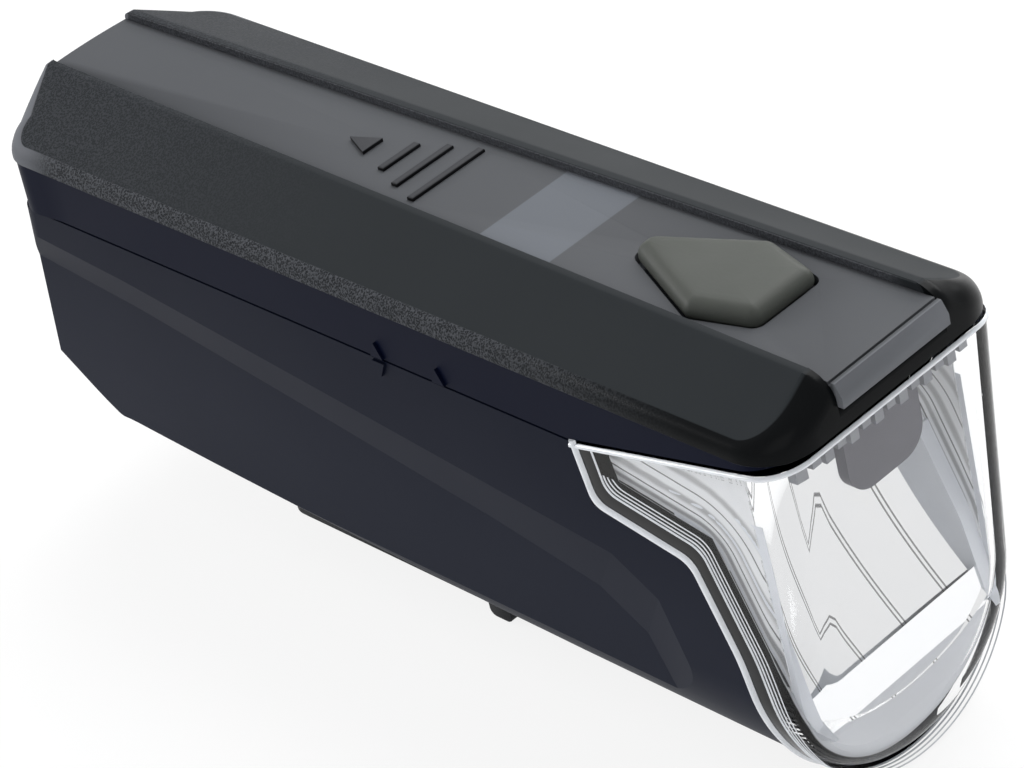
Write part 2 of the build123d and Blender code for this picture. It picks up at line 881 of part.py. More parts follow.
def make_status_led():
    """Small light beside the switch."""
    top = board_height + board_thick
    return block(
        glow_station - glow_half, glow_station + glow_half, glow_offset - glow_half,
        glow_offset + glow_half, top, top + glow_tall,
    )


def make_driver_coil():
    """Square inductor with a round core end."""
    top = board_height + board_thick
    body = block(
        coil_station - coil_half, coil_station + coil_half, coil_offset - coil_half,
        coil_offset + coil_half, top, top + coil_tall,
    )
    body = fillet(body.edges().filter_by(Axis.Z), coil_half / 4)
    return body + post(
        coil_station, coil_offset, top + coil_tall, top + coil_tall + coil_core_tall, coil_core_radius,
    )


def make_driver_chip():
    """Control chip."""
    top = board_height + board_thick
    return block(
        chip_station - chip_half, chip_station + chip_half, chip_offset - chip_half,
        chip_offset + chip_half, top, top + chip_tall,
    )


def make_led_board():
    """Metal-core board under the arm."""
    return slope_slab(
        led_board_rear_station, led_board_front_station, led_board_half, lens_top_gap, led_board_thick,
    )


def make_led_emitter():
    """Light source under its board, with a dome."""
    drop = lens_top_gap + led_board_thick
    body = slope_slab(led_station - led_half, led_station + led_half, led_half, drop, led_tall)
    dome = Pos(led_station, 0, rise(led_station) - drop - led_tall / 2) * Sphere(led_dome_radius)
    above = slope_slab(
        led_board_rear_station, led_board_front_station, led_board_half, drop - overrun, overrun,
    )
    return body + (dome - above)


def cell_places():
    """Middle of each cell across the beam, and whether its nub points forward."""
    return [
        ("cell_1", -cell_offset, -upper_cell_depth, True),
        ("cell_2", cell_offset, -upper_cell_depth, False),
        ("cell_3", -cell_offset, -lower_cell_depth, False),
        ("cell_4", cell_offset, -lower_cell_depth, True),
    ]


def make_cell(y, z, forward):
    """AA cell with its nub."""
    can = rod(0, cell_length - cell_nub_length, 0, 0, cell_radius)
    can = fillet(can.edges().filter_by(GeomType.CIRCLE), cell_round)
    body = can + rod(cell_length - cell_nub_length * 2, cell_length, 0, 0, cell_nub_radius)
    if forward:
        front = bulkhead_station - plate_thick - dimple_tall
        return Pos(front - cell_length, y, z) * body
    rear = bay_rear_station + plate_thick + dimple_tall
    return Pos(rear + cell_length, y, z) * Rot(0, 0, 180) * body


def plate(x_start, y_start, y_end, z_start, z_end):
    """Contact plate across the beam."""
    return block(x_start, x_start + plate_thick, y_start, y_end, z_start, z_end)


def make_rear_contacts():
    """Upper and lower plate, each with a dimple for the nub it meets."""
    x = bay_rear_station
    reach = cell_offset + plate_half
    plates = []
    for y, z in ((cell_offset, -upper_cell_depth), (-cell_offset, -lower_cell_depth)):
        body = plate(x, -reach, reach, z - plate_half, z + plate_half)
        plates.append(body + rod(x, x + plate_thick + dimple_tall, y, z, dimple_radius))
    return plates


def make_front_contacts():
    """Three plates on the bulkhead: positive end, joint between two cells, negative end."""
    x = bulkhead_station - plate_thick
    rivet_end = bulkhead_station + bulkhead_thick + rivet_reach
    upper = -upper_cell_depth
    lower = -lower_cell_depth
    positive = plate(
        x, -cell_offset - plate_half, -cell_offset + plate_half, upper - plate_half, upper + plate_half,
    )
    positive += rod(x - dimple_tall, x + plate_thick, -cell_offset, upper, dimple_radius)
    positive += rod(x, rivet_end, -cell_offset, upper, rivet_radius)
    joint = plate(
        x, cell_offset - plate_half, cell_offset + plate_half, lower - plate_half, upper + plate_half,
    )
    joint += rod(x - dimple_tall, x + plate_thick, cell_offset, lower, dimple_radius)
    negative = plate(
        x, -cell_offset - plate_half, negative_rivet_offset + rivet_radius * 2, lower - plate_half,
        lower + plate_half,
    )
    negative += rod(x, rivet_end, negative_rivet_offset, lower, rivet_radius)
    return [positive, joint, negative]


def coil(radius, wire, turns, length):
    """Coil of round wire along +Z, from 0 to length over the wire."""
    run = length - wire * 2
    path = Helix(pitch=run / turns, height=run, radius=radius)
    section = Plane(origin=path @ 0, z_dir=path % 0) * Circle(wire)
    return Pos(0, 0, wire) * sweep(section, path=path)


def make_cell_springs(front):
    """Two springs on the negative ends at one end of the bay."""
    length = bulkhead_station - bay_rear_station - plate_thick * 2 - dimple_tall - cell_length
    one = coil(spring_radius, spring_wire, spring_turns, length)
    springs = []
    for name, y, z, forward in cell_places():
        if forward != front:
            if front:
                springs.append(Pos(bulkhead_station - plate_thick, y, z) * Rot(0, -90, 0) * one)
            else:
                springs.append(Pos(bay_rear_station + plate_thick, y, z) * Rot(0, 90, 0) * one)
    return springs


def make_front_bulkhead():
    """Wall ahead of the cells with two rivet holes."""
    body = bay_form(bulkhead_station, bulkhead_station + bulkhead_thick, -bulkhead_top_drop)
    body -= rod(
        bulkhead_station - overrun, bulkhead_station + overrun, -cell_offset, -upper_cell_depth,
        rivet_radius + rivet_gap,
    )
    body -= rod(
        bulkhead_station - overrun, bulkhead_station + overrun, negative_rivet_offset, -lower_cell_depth,
        rivet_radius + rivet_gap,
    )
    for side in (-1, 1):
        y_pair = sorted((side * (hook_leg_inner - hook_room), side * far_away))
        body -= block(
            bulkhead_station - overrun, bulkhead_station + overrun, y_pair[0], y_pair[1],
            -hook_foot_depth - hook_room, overrun,
        )
    return body


def make_lead(y, z):
    """Lead from a rivet forward and then up to the underside of the board."""
    start = bulkhead_station + bulkhead_thick + rivet_reach
    path = FilletPolyline(
        (start, y, z), (lead_station(), y, z), (lead_station(), y, board_height), radius=lead_bend,
    )
    section = Plane(origin=(start, y, z), z_dir=(1, 0, 0)) * Circle(lead_radius)
    return sweep(section, path=path)


def make_mount_rail(form):
    """T-shaped rail under the housing with screw holes, latch slot and pin lugs."""
    plate_box = block(
        rail_rear_station, rail_front_station, -rail_half, rail_half, -rail_depth, rail_plate - rail_depth,
    )
    corner_edges = plate_box.edges().filter_by(Axis.Z).sort_by(Axis.X)[:2]
    body = fillet(corner_edges, rail_corner)
    neck = block(
        rail_rear_station + rail_plate, rail_front_station, -rail_neck_half, rail_neck_half, -rail_depth,
        -heel_depth,
    )
    body += neck
    for side in (-1, 1):
        y_pair = sorted((side * lug_inner, side * lug_outer))
        body += block(
            rail_front_station - rail_plate, lug_front_station, y_pair[0], y_pair[1], -lug_foot_depth,
            -heel_depth,
        )
    body -= form
    slot_half = latch_arm_half + latch_slot_gap
    body -= block(
        arm_rear_station - latch_slot_gap, rail_front_station + overrun, -slot_half, slot_half, -far_away,
        -heel_depth,
    )
    body -= block(
        rail_front_station, rail_front_station + overrun, -lug_inner, lug_inner, -far_away, -heel_depth,
    )
    body -= Pos(pin_station, 0, -pin_depth) * Rot(90, 0, 0) * Cylinder(pin_radius + screw_gap, far_away)
    for station in rail_screw_stations:
        for offset_y in (-rail_screw_offset, rail_screw_offset):
            body -= post(station, offset_y, -far_away, -heel_depth, rail_screw_radius + rail_head_gap)
            pocket_top = rail_head_tall + rail_head_sink - rail_depth
            body -= post(station, offset_y, -far_away, pocket_top, rail_head_radius + rail_head_gap)
    return body


def make_rail_screws():
    """Four screws from below through the rail into the housing."""
    seat = rail_head_tall + rail_head_sink - rail_depth
    reach = -rail_screw_depth - seat
    one = screw(rail_screw_radius, reach, rail_head_radius, rail_head_tall, screw_slot, screw_slot_deep)
    turned = Rot(180, 0, 0) * one
    offsets = (-rail_screw_offset, rail_screw_offset)
    return [Pos(x, y, seat) * turned for x in rail_screw_stations for y in offsets]


def make_release_latch():
    """Lever with barrel, rearward arm with its tooth and the wide tab below."""
    barrel = Pos(pin_station, 0, -pin_depth) * Rot(90, 0, 0) * Cylinder(barrel_radius, barrel_half * 2)
    arm = block(
        arm_rear_station, pin_station, -latch_arm_half, latch_arm_half, -latch_arm_foot_depth,
        -latch_arm_top_depth,
    )
    tooth = block(
        arm_rear_station, tooth_front_station, -latch_arm_half, latch_arm_half, -tooth_foot_depth,
        -latch_arm_top_depth,
    )
    root = block(
        tab_rear_station, tab_front_station, -barrel_half, barrel_half, -tab_foot_depth, -tab_root_depth,
    )
    wing = block(tab_rear_station, tab_front_station, -tab_half, tab_half, -tab_foot_depth, -tab_wing_depth)
    wing = fillet(wing.edges().filter_by(Axis.Y).group_by(Axis.Z)[0], tab_round)
    root -= block(0, far_away * 2, -far_away, far_away, -far_away, -tab_wing_depth)
    body = barrel + arm + tooth + root + wing
    return body - Pos(pin_station, 0, -pin_depth) * Rot(90, 0, 0) * Cylinder(pin_radius + pin_gap, far_away)


def make_latch_pin():
    """Pin through lugs and barrel."""
    return Pos(pin_station, 0, -pin_depth) * Rot(90, 0, 0) * Cylinder(pin_radius, lug_outer * 2)


def floor_height(station):
    """Height of the housing's underside at a station, along the line from heel to toe."""
    share = (station - heel_station) / (toe_station - heel_station)
    return -heel_depth - (toe_depth - heel_depth) * share


def make_latch_spring():
    """Small coil between the latch arm and the housing."""
    length = floor_height(return_spring_station) + latch_arm_top_depth - return_spring_wire / 2
    return Pos(return_spring_station, 0, -latch_arm_top_depth) * coil(
        return_spring_radius, return_spring_wire, return_spring_turns, length,
    )


def save(name, shape):
    """Writes one named piece, moved to the part's own origin."""
    pieces = shape if isinstance(shape, list) else [shape]
    shift = Pos(-rail_station, 0, rail_depth)
    solids = [shift * solid for piece in pieces for solid in piece.solids()]
    result = solids[0] if len(solids) == 1 else Compound(children=solids)
    result.label = name
    export_step(result, "parts/" + name + ".step")
    box = result.bounding_box()
    print(name, len(solids), [round(v, 1) for v in (*box.min, *box.max)])


outside = rounded_form(0)
inside = rounded_form(lens_wall)
save("lower_housing", make_lower_housing(outside))
save("top_cover", make_top_cover())
save("top_panel", make_top_panel())
save("power_button", make_power_button())
save("lens", make_lens(outside, inside))
save("lens_seal", make_lens_seal(inside))
save("reflector", make_reflector())
save("led_hood", make_led_hood())
save("led_board", make_led_board())
save("led_emitter", make_led_emitter())
save("heat_sink", make_heat_sink())
save("main_board", make_main_board())
save("board_screws", make_board_screws())
save("push_switch", make_push_switch())
save("switch_plunger", make_switch_plunger())
save("status_led", make_status_led())
save("driver_coil", make_driver_coil())
save("driver_chip", make_driver_chip())
save("reflector_screws", make_reflector_screws())
for cell_name, cell_y, cell_z, cell_forward in cell_places():
    save(cell_name, make_cell(cell_y, cell_z, cell_forward))
save("rear_contacts", make_rear_contacts())
save("front_contacts", make_front_contacts())
save("rear_springs", make_cell_springs(False))
save("front_springs", make_cell_springs(True))
save("front_bulkhead", make_front_bulkhead())
save("positive_lead", make_lead(-cell_offset, -upper_cell_depth))
save("negative_lead", make_lead(negative_rivet_offset, -lower_cell_depth))
save("mount_rail", make_mount_rail(outside))
save("rail_screws", make_rail_screws())
save("release_latch", make_release_latch())
save("latch_pin", make_latch_pin())
save("latch_spring", make_latch_spring())
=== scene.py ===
import bpy
import bmesh
import math
import numpy as np
from mathutils import Matrix


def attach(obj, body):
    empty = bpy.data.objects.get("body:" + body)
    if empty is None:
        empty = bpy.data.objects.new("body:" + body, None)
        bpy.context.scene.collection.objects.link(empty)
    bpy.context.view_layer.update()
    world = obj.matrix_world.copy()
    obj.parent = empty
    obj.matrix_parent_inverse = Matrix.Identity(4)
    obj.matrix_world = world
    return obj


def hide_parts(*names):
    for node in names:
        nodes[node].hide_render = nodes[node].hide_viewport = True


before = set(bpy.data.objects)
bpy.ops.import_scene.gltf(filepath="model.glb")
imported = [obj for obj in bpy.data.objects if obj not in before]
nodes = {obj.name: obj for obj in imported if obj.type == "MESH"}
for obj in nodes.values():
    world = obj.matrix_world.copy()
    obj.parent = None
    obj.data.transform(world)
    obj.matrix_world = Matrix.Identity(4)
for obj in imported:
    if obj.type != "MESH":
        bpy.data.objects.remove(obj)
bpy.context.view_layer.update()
scene = bpy.context.scene

# Shapes are set in millimetres and become metres in place(); finishes and soft edges are set in metres.
# Stations run forward from the rear of the cover, heights from the seam, as in the solid model.
railStation = 46.8
railDepth = 40.3


def place(points):
    # station, offset and height, shifted by the rail's station and depth, times 0.001
    points = np.asarray(points, float)
    return (points + np.array([-railStation, 0.0, railDepth])) * 0.001


# Small steps that the node trees are made of

def setOrLink(tree, socket, value):
    # a number is set on the socket, a colour is set opaque, and a node's output is linked
    if isinstance(value, tuple):
        socket.default_value = (*value, 1.0)
    elif isinstance(value, (int, float)):
        socket.default_value = value
    else:
        tree.links.new(value, socket)


def mathNode(tree, operation, *values):
    # one step of arithmetic on one to three values
    node = tree.nodes.new("ShaderNodeMath")
    node.operation = operation
    for socket, value in zip(node.inputs, values):
        setOrLink(tree, socket, value)
    return node.outputs[0]


def product(tree, first, second):
    # first times second
    return mathNode(tree, "MULTIPLY", first, second)


def oneMinus(tree, value):
    # 1 less the value
    return mathNode(tree, "SUBTRACT", 1.0, value)


def mixColour(tree, share, first, second):
    # first + (second - first) * share
    node = tree.nodes.new("ShaderNodeMix")
    node.data_type = "RGBA"
    for index, value in ((0, share), (6, first), (7, second)):
        setOrLink(tree, node.inputs[index], value)
    return node.outputs[2]


def paint(tree, colour, *layers):
    # each layer, a share and its tone, goes over the ones before it
    for share, tone in layers:
        colour = mixColour(tree, share, colour, tone)
    return colour


def fade(tree, value, low, high, first=0.0, last=1.0, curve="SMOOTHSTEP"):
    # goes from first to last as the value goes from low to high
    node = tree.nodes.new("ShaderNodeMapRange")
    node.interpolation_type = curve
    for label, number in (("From Min", low), ("From Max", high), ("To Min", first), ("To Max", last)):
        node.inputs[label].default_value = number
    tree.links.new(value, node.inputs["Value"])
    return node.outputs[0]


def band(tree, value, low, high, soft):
    # 1 between low and high, falling to 0 over soft on either side
    rise = fade(tree, value, low - soft, low + soft)
    fall = fade(tree, value, high - soft, high + soft, 1.0, 0.0)
    return product(tree, rise, fall)


def objectPlace(tree):
    # the place of a point on the object, in metres
    return tree.nodes.new("ShaderNodeTexCoord").outputs["Object"]


def axesOf(tree, vector):
    # the vector's X, Y and Z
    parts = tree.nodes.new("ShaderNodeSeparateXYZ")
    tree.links.new(vector, parts.inputs[0])
    return parts.outputs


def rimShare(tree):
    # the number that makePiece stored with the piece's points
    node = tree.nodes.new("ShaderNodeAttribute")
    node.attribute_name = "rimShare"
    return node.outputs["Fac"]


def noise(tree, scale, detail=2.0, roughness=0.5, stretch=None):
    # cloudy noise on the object; with a stretch it is drawn out along the beam
    vector = objectPlace(tree)
    if stretch is not None:
        mapping = tree.nodes.new("ShaderNodeMapping")
        mapping.inputs["Scale"].default_value = (1.0, stretch, stretch)
        tree.links.new(vector, mapping.inputs["Vector"])
        vector = mapping.outputs["Vector"]
    node = tree.nodes.new("ShaderNodeTexNoise")
    node.inputs["Detail"].default_value = detail
    node.inputs["Roughness"].default_value = roughness
    tree.links.new(vector, node.inputs["Vector"])
    setOrLink(tree, node.inputs["Scale"], scale)
    return node.outputs["Fac"]


def newMaterial(name):
    # a material with its tree and its shader at hand
    material = bpy.data.materials.new(name)
    material.use_nodes = True
    tree = material.node_tree
    return material, tree, tree.nodes["Principled BSDF"]


# Camera, light and floor

studio = {
    "cameraPlace": (0.311579, -0.218909, 0.272174),
    "cameraRight": (0.69002, 0.69586, -0.19913),
    "cameraUp": (-0.29087, 0.51853, 0.80406),
    "cameraBack": (0.66277, -0.4969, 0.56021),
    "lens": 134.788,
    "floorHeight": -0.0032,
    "floorHalf": 4.0,
    "floorColour": (0.93, 0.93, 0.925, 1.0),
    "floorWhite": 0.84,
    "skyColour": (0.97, 0.985, 1.0, 1.0),
    "skyRamp": (-0.1, 0.9, 0.42, 0.62),  # upward share from, to, and the strength at each
    "backdrop": (0.8, 0.8, 0.8, 1.0),
    "lamps": [
        # name, place, aim, width, height, watts
        ("overheadBox", (-0.1, 0.4, 0.65), (0.0, 0.0, 0.03), 0.7, 0.5, 6.0),
        ("rearStrip", (-0.7, -0.35, 0.3), (-0.03, 0.0, 0.03), 0.5, 0.25, 3.6),
        ("frontFill", (0.5, -0.6, 0.35), (0.04, 0.0, 0.03), 0.5, 0.5, 0.7),
        ("farStrip", (-0.1, 0.75, 0.4), (0.0, 0.0, 0.045), 0.6, 0.25, 2.2),
    ],
}


def makeCamera():
    # the camera's axes are the columns of its matrix, its place the last column
    data = bpy.data.cameras.new("photoCamera")
    camera = bpy.data.objects.new("photoCamera", data)
    scene.collection.objects.link(camera)
    matrix = np.eye(4)
    for column, key in enumerate(("cameraRight", "cameraUp", "cameraBack", "cameraPlace")):
        matrix[:3, column] = studio[key]
    camera.matrix_world = Matrix(matrix.tolist())
    data.sensor_width = 36.0
    data.lens = studio["lens"]
    data.clip_start = 0.01
    data.clip_end = 20.0
    scene.camera = camera


def seenDirectly(tree):
    # 1 for rays that show the background: from the camera, off a gloss or through glass
    path = tree.nodes.new("ShaderNodeLightPath")
    shown = mathNode(tree, "MAXIMUM", path.outputs["Is Camera Ray"], path.outputs["Is Glossy Ray"])
    return mathNode(tree, "MAXIMUM", shown, path.outputs["Is Transmission Ray"])


def showMixed(tree, share, first, second, output):
    # the second shader takes over from the first by the share
    mix = tree.nodes.new("ShaderNodeMixShader")
    for socket, source in zip(mix.inputs, (share, first.outputs[0], second.outputs[0])):
        tree.links.new(source, socket)
    tree.links.new(mix.outputs[0], output.inputs["Surface"])


def makeWorld():
    # soft light from all round, stronger from above; seen directly it is an even pale backdrop
    world = bpy.data.worlds.new("softRoom")
    scene.world = world
    world.use_nodes = True
    tree = world.node_tree
    tree.nodes.clear()
    ray = axesOf(tree, tree.nodes.new("ShaderNodeTexCoord").outputs["Generated"])
    sky = tree.nodes.new("ShaderNodeBackground")
    sky.inputs["Color"].default_value = studio["skyColour"]
    tree.links.new(fade(tree, ray["Z"], *studio["skyRamp"], "LINEAR"), sky.inputs["Strength"])
    backdrop = tree.nodes.new("ShaderNodeBackground")
    backdrop.inputs["Color"].default_value = studio["backdrop"]
    showMixed(tree, seenDirectly(tree), sky, backdrop, tree.nodes.new("ShaderNodeOutputWorld"))


def makeLamps():
    # each soft box turns so that its own -Z points at its aim
    for name, spot, aim, width, height, watts in studio["lamps"]:
        data = bpy.data.lights.new(name, "AREA")
        data.shape = "RECTANGLE"
        data.size = width
        data.size_y = height
        data.energy = watts
        lamp = bpy.data.objects.new(name, data)
        scene.collection.objects.link(lamp)
        lamp.location = spot
        back = np.array(spot) - np.array(aim)
        tilt = math.acos(back[2] / np.linalg.norm(back))
        lamp.rotation_euler = (tilt, 0.0, math.atan2(back[0], -back[1]))


def makeFloor():
    # one flat square: seen directly it is mostly white, with the object's shadow left in it
    half = studio["floorHalf"]
    mesh = bpy.data.meshes.new("paleFloor")
    corners = ((-half, -half), (half, -half), (half, half), (-half, half))
    mesh.from_pydata([(x, y, studio["floorHeight"]) for x, y in corners], [], [(0, 1, 2, 3)])
    floor = bpy.data.objects.new("paleFloor", mesh)
    scene.collection.objects.link(floor)
    material, tree, shader = newMaterial("paleFloor")
    shader.inputs["Base Color"].default_value = studio["floorColour"]
    shader.inputs["Roughness"].default_value = 0.9
    shader.inputs["Specular IOR Level"].default_value = 0.1
    glow = tree.nodes.new("ShaderNodeEmission")
    share = product(tree, seenDirectly(tree), studio["floorWhite"])
    showMixed(tree, share, shader, glow, tree.nodes["Material Output"])
    mesh.materials.append(material)


scene.view_settings.view_transform = "Standard"
makeCamera()
makeWorld()
makeLamps()
makeFloor()
print("studio ready")


# Shared surface effects, each a node group

def newGroup(name, ins, outs):
    # an empty group with the named sockets: (name, kind, first value)
    group = bpy.data.node_groups.new(name, "ShaderNodeTree")
    for label, kind, value in ins:
        socket = group.interface.new_socket(name=label, in_out="INPUT", socket_type=kind)
        socket.default_value = value
    for label, kind in outs:
        group.interface.new_socket(name=label, in_out="OUTPUT", socket_type=kind)
    start = group.nodes.new("NodeGroupInput")
    end = group.nodes.new("NodeGroupOutput")
    return group, start.outputs, end.inputs


def useGroup(tree, group, values):
    # places a group and sets or links its inputs
    node = tree.nodes.new("ShaderNodeGroup")
    node.node_tree = group
    for label, value in values.items():
        setOrLink(tree, node.inputs[label], value)
    return node.outputs


def makeMouldGroup():
    # moulded plastic: two tones mixed by slow noise, roughness by the same noise, height from fine noise
    group, given, result = newGroup(
        "mouldedSkin",
        [("Light Tone", "NodeSocketColor", (0.1, 0.1, 0.1, 1.0)),
         ("Dark Tone", "NodeSocketColor", (0.05, 0.05, 0.05, 1.0)),
         ("Cloud Scale", "NodeSocketFloat", 60.0), ("Grain Scale", "NodeSocketFloat", 4000.0),
         ("Rough Low", "NodeSocketFloat", 0.4), ("Rough High", "NodeSocketFloat", 0.5)],
        [("Color", "NodeSocketColor"), ("Roughness", "NodeSocketFloat"), ("Height", "NodeSocketFloat")],
    )
    cloud = noise(group, given["Cloud Scale"], 4.0)
    grain = noise(group, given["Grain Scale"], 3.0, 0.7)
    spread = mathNode(group, "SUBTRACT", given["Rough High"], given["Rough Low"])
    rough = mathNode(group, "MULTIPLY_ADD", cloud, spread, given["Rough Low"])
    group.links.new(mixColour(group, cloud, given["Light Tone"], given["Dark Tone"]), result["Color"])
    group.links.new(rough, result["Roughness"])
    group.links.new(grain, result["Height"])
    return group


def makeSparkGroup():
    # spark grain: distance to the nearest random point plus finer noise, times its mask
    group, given, result = newGroup(
        "sparkGrain",
        [("Scale", "NodeSocketFloat", 2500.0), ("Mask", "NodeSocketFloat", 1.0)],
        [("Height", "NodeSocketFloat"), ("Speck", "NodeSocketFloat")],
    )
    coarse = group.nodes.new("ShaderNodeTexVoronoi")
    group.links.new(objectPlace(group), coarse.inputs["Vector"])
    group.links.new(given["Scale"], coarse.inputs["Scale"])
    fine = noise(group, product(group, given["Scale"], 1.7))
    total = mathNode(group, "ADD", coarse.outputs["Distance"], fine)
    group.links.new(product(group, total, given["Mask"]), result["Height"])
    group.links.new(product(group, fade(group, total, 0.8, 1.25), given["Mask"]), result["Speck"])
    return group


mouldGroup = makeMouldGroup()
sparkGroup = makeSparkGroup()
print("surface effects ready")


# Finishes. Every moulded look has the values of lookFields: two tones, the scales of their clouds and of
# the grain, the height of the grain, the lowest and highest roughness, and the specular level.

lookFields = ("light", "dark", "cloud", "grain", "bumpHeight", "rough", "specular")


def mouldedSkin(tree, look):
    # the moulded skin with the look's own tones, scales and roughness
    return useGroup(tree, mouldGroup, {
        "Light Tone": look["light"], "Dark Tone": look["dark"],
        "Cloud Scale": look["cloud"], "Grain Scale": look["grain"],
        "Rough Low": look["rough"][0], "Rough High": look["rough"][1],
    })


def bump(tree, shader, height, distance):
    # turns a height between 0 and 1 into a change of the normal, distance high
    node = tree.nodes.new("ShaderNodeBump")
    node.inputs["Distance"].default_value = distance
    tree.links.new(height, node.inputs["Height"])
    tree.links.new(node.outputs["Normal"], shader.inputs["Normal"])


def finish(tree, shader, look, colour, rough, height):
    # colour, roughness and grain go to the shader
    tree.links.new(colour, shader.inputs["Base Color"])
    tree.links.new(rough, shader.inputs["Roughness"])
    shader.inputs["Specular IOR Level"].default_value = look["specular"]
    bump(tree, shader, height, look["bumpHeight"])


def plainPlastic(name, *values):
    # moulded plastic with one grain all over
    look = dict(zip(lookFields, values))
    material, tree, shader = newMaterial(name)
    skin = mouldedSkin(tree, look)
    finish(tree, shader, look, skin["Color"], skin["Roughness"], skin["Height"])
    return material


coverLook = {
    "light": (0.0205, 0.0235, 0.026), "dark": (0.0165, 0.0190, 0.0212), "cloud": 45.0, "grain": 5200.0,
    "bumpHeight": 0.00007, "rough": (0.46, 0.56), "specular": 0.06,
    "grainShare": 0.1, "sparkScale": 3900.0, "speck": (0.078, 0.082, 0.092), "speckShare": 0.7,
    "skirt": (0.0012, 0.0026, 0.0120), "skirtTop": (0.04705, 0.0474),
    "frontDark": (0.003, 0.0035, 0.004), "frontSpan": (0.030, 0.072), "frontGloss": -0.26,
    # rear rim: the tone of a painted highlight, the span of the rear along the cover, and the highlight's share
    "rearPaintedHighlight": (0.13, 0.135, 0.15), "rearSpan": (-0.0415, -0.034), "rearHighlightShare": 0.8,
    "bandDark": (0.0065, 0.0075, 0.0100), "bandTint": 0.7,
    "wallDark": (0.040, 0.042, 0.047), "wallSpan": (0.074, 0.078),
    "facetFoot": (0.0492, 0.0498), "facetSpan": (-0.046, 0.02), "facetGrain": 0.42,
}


def coverMaterial():
    # dark grey facets, grainy band and rear, a rear rim made pale by a painted highlight, smooth blue-black
    # skirt and front rim
    look = coverLook
    material, tree, shader = newMaterial("coverPlastic")
    axes = axesOf(tree, objectPlace(tree))
    share = rimShare(tree)
    skin = mouldedSkin(tree, look)
    onRim = fade(tree, share, 0.25, 0.75)
    front = fade(tree, axes["X"], *look["frontSpan"])
    rear = fade(tree, axes["X"], *look["rearSpan"], 1.0, 0.0)
    frontRim = product(tree, onRim, front)
    rearHighlightMask = product(tree, onRim, rear)
    onBand = product(tree, onRim, product(tree, oneMinus(tree, front), oneMinus(tree, rear)))
    onFacet = product(tree, fade(tree, axes["Z"], *look["facetFoot"]), oneMinus(tree, onRim))
    onFacet = product(tree, onFacet, fade(tree, axes["X"], *look["facetSpan"], look["facetGrain"], 0.0))
    onWall = product(
        tree, fade(tree, share, -0.75, -0.25, 1.0, 0.0), fade(tree, axes["X"], *look["wallSpan"], 1.0, 0.0),
    )
    mask = mathNode(tree, "MAXIMUM", mathNode(tree, "MAXIMUM", onBand, onFacet), onWall)
    spark = useGroup(tree, sparkGroup, {"Scale": look["sparkScale"], "Mask": mask})
    colour = mixColour(tree, fade(tree, axes["Z"], *look["skirtTop"]), look["skirt"], skin["Color"])
    colour = paint(
        tree, colour,
        (frontRim, look["frontDark"]),
        (product(tree, onBand, look["bandTint"]), look["bandDark"]),
        (onWall, look["wallDark"]),
        (onFacet, look["bandDark"]),
        # the rear rim's pale tone is a painted highlight, where light from behind falls on the rounded band
        (product(tree, rearHighlightMask, look["rearHighlightShare"]), look["rearPaintedHighlight"]),
        (product(tree, spark["Speck"], look["speckShare"]), look["speck"]),
    )
    rough = mathNode(tree, "MULTIPLY_ADD", frontRim, look["frontGloss"], skin["Roughness"])
    height = mathNode(tree, "MULTIPLY_ADD", skin["Height"], look["grainShare"], spark["Height"])
    finish(tree, shader, look, colour, rough, height)
    return material


lensCoat = {"radius": 0.01495, "soft": 0.0001, "keelHeight": 0.0147}


def insideLens(tree, axes):
    # 1 within the radius of the keel's centre line, and above it within the radius of the middle plane
    radius = lensCoat["radius"]
    down = mathNode(tree, "MAXIMUM", mathNode(tree, "SUBTRACT", lensCoat["keelHeight"], axes["Z"]), 0.0)
    squares = mathNode(tree, "ADD", product(tree, axes["Y"], axes["Y"]), product(tree, down, down))
    return fade(tree, mathNode(tree, "SQRT", squares), radius, radius + lensCoat["soft"], 1.0, 0.0)


sealLook = {
    "light": (0.004, 0.004, 0.005), "dark": (0.003, 0.003, 0.004), "cloud": 200.0, "grain": 3000.0,
    "bumpHeight": 0.00001, "rough": (0.3, 0.4), "specular": 0.05, "coat": (0.72, 0.74, 0.78),
}


def sealMaterial():
    # black rubber; the faces that look into the lens carry the reflector's white coat
    material, tree, shader = newMaterial("sealRubber")
    skin = mouldedSkin(tree, sealLook)
    inside = insideLens(tree, axesOf(tree, objectPlace(tree)))
    colour = mixColour(tree, inside, skin["Color"], sealLook["coat"])
    finish(tree, shader, sealLook, colour, skin["Roughness"], skin["Height"])
    return material


housingLook = {
    "light": (0.0040, 0.0058, 0.0150), "dark": (0.0032, 0.0048, 0.0125), "cloud": 35.0, "grain": 4200.0,
    "bumpHeight": 0.000014, "rough": (0.42, 0.52), "specular": 0.05,
    # painted light from the floor: its tone, its share and the span of heights over which it fades in
    "low": (0.0125, 0.0150, 0.0255), "floorLightShare": 0.8, "floorLightSpan": (0.044, 0.012),
    "coat": (0.96, 0.965, 0.975), "coatSpan": (0.0660, 0.0665), "coatGloss": -0.34,
}


def housingMaterial():
    # blue-black tub, with painted light that makes it paler towards its foot, where it faces the pale floor;
    # inside the lens it carries the mirror's metal coat
    look = housingLook
    material, tree, shader = newMaterial("housingPlastic")
    axes = axesOf(tree, objectPlace(tree))
    skin = mouldedSkin(tree, look)
    # painted light: the tub grows paler towards its foot, standing for light from the floor below
    low = product(tree, fade(tree, axes["Z"], *look["floorLightSpan"]), look["floorLightShare"])
    coated = product(tree, insideLens(tree, axes), fade(tree, axes["X"], *look["coatSpan"]))
    colour = paint(tree, skin["Color"], (low, look["low"]), (coated, look["coat"]))
    tree.links.new(coated, shader.inputs["Metallic"])
    rough = mathNode(tree, "MULTIPLY_ADD", coated, look["coatGloss"], skin["Roughness"])
    finish(tree, shader, look, colour, rough, skin["Height"])
    return material


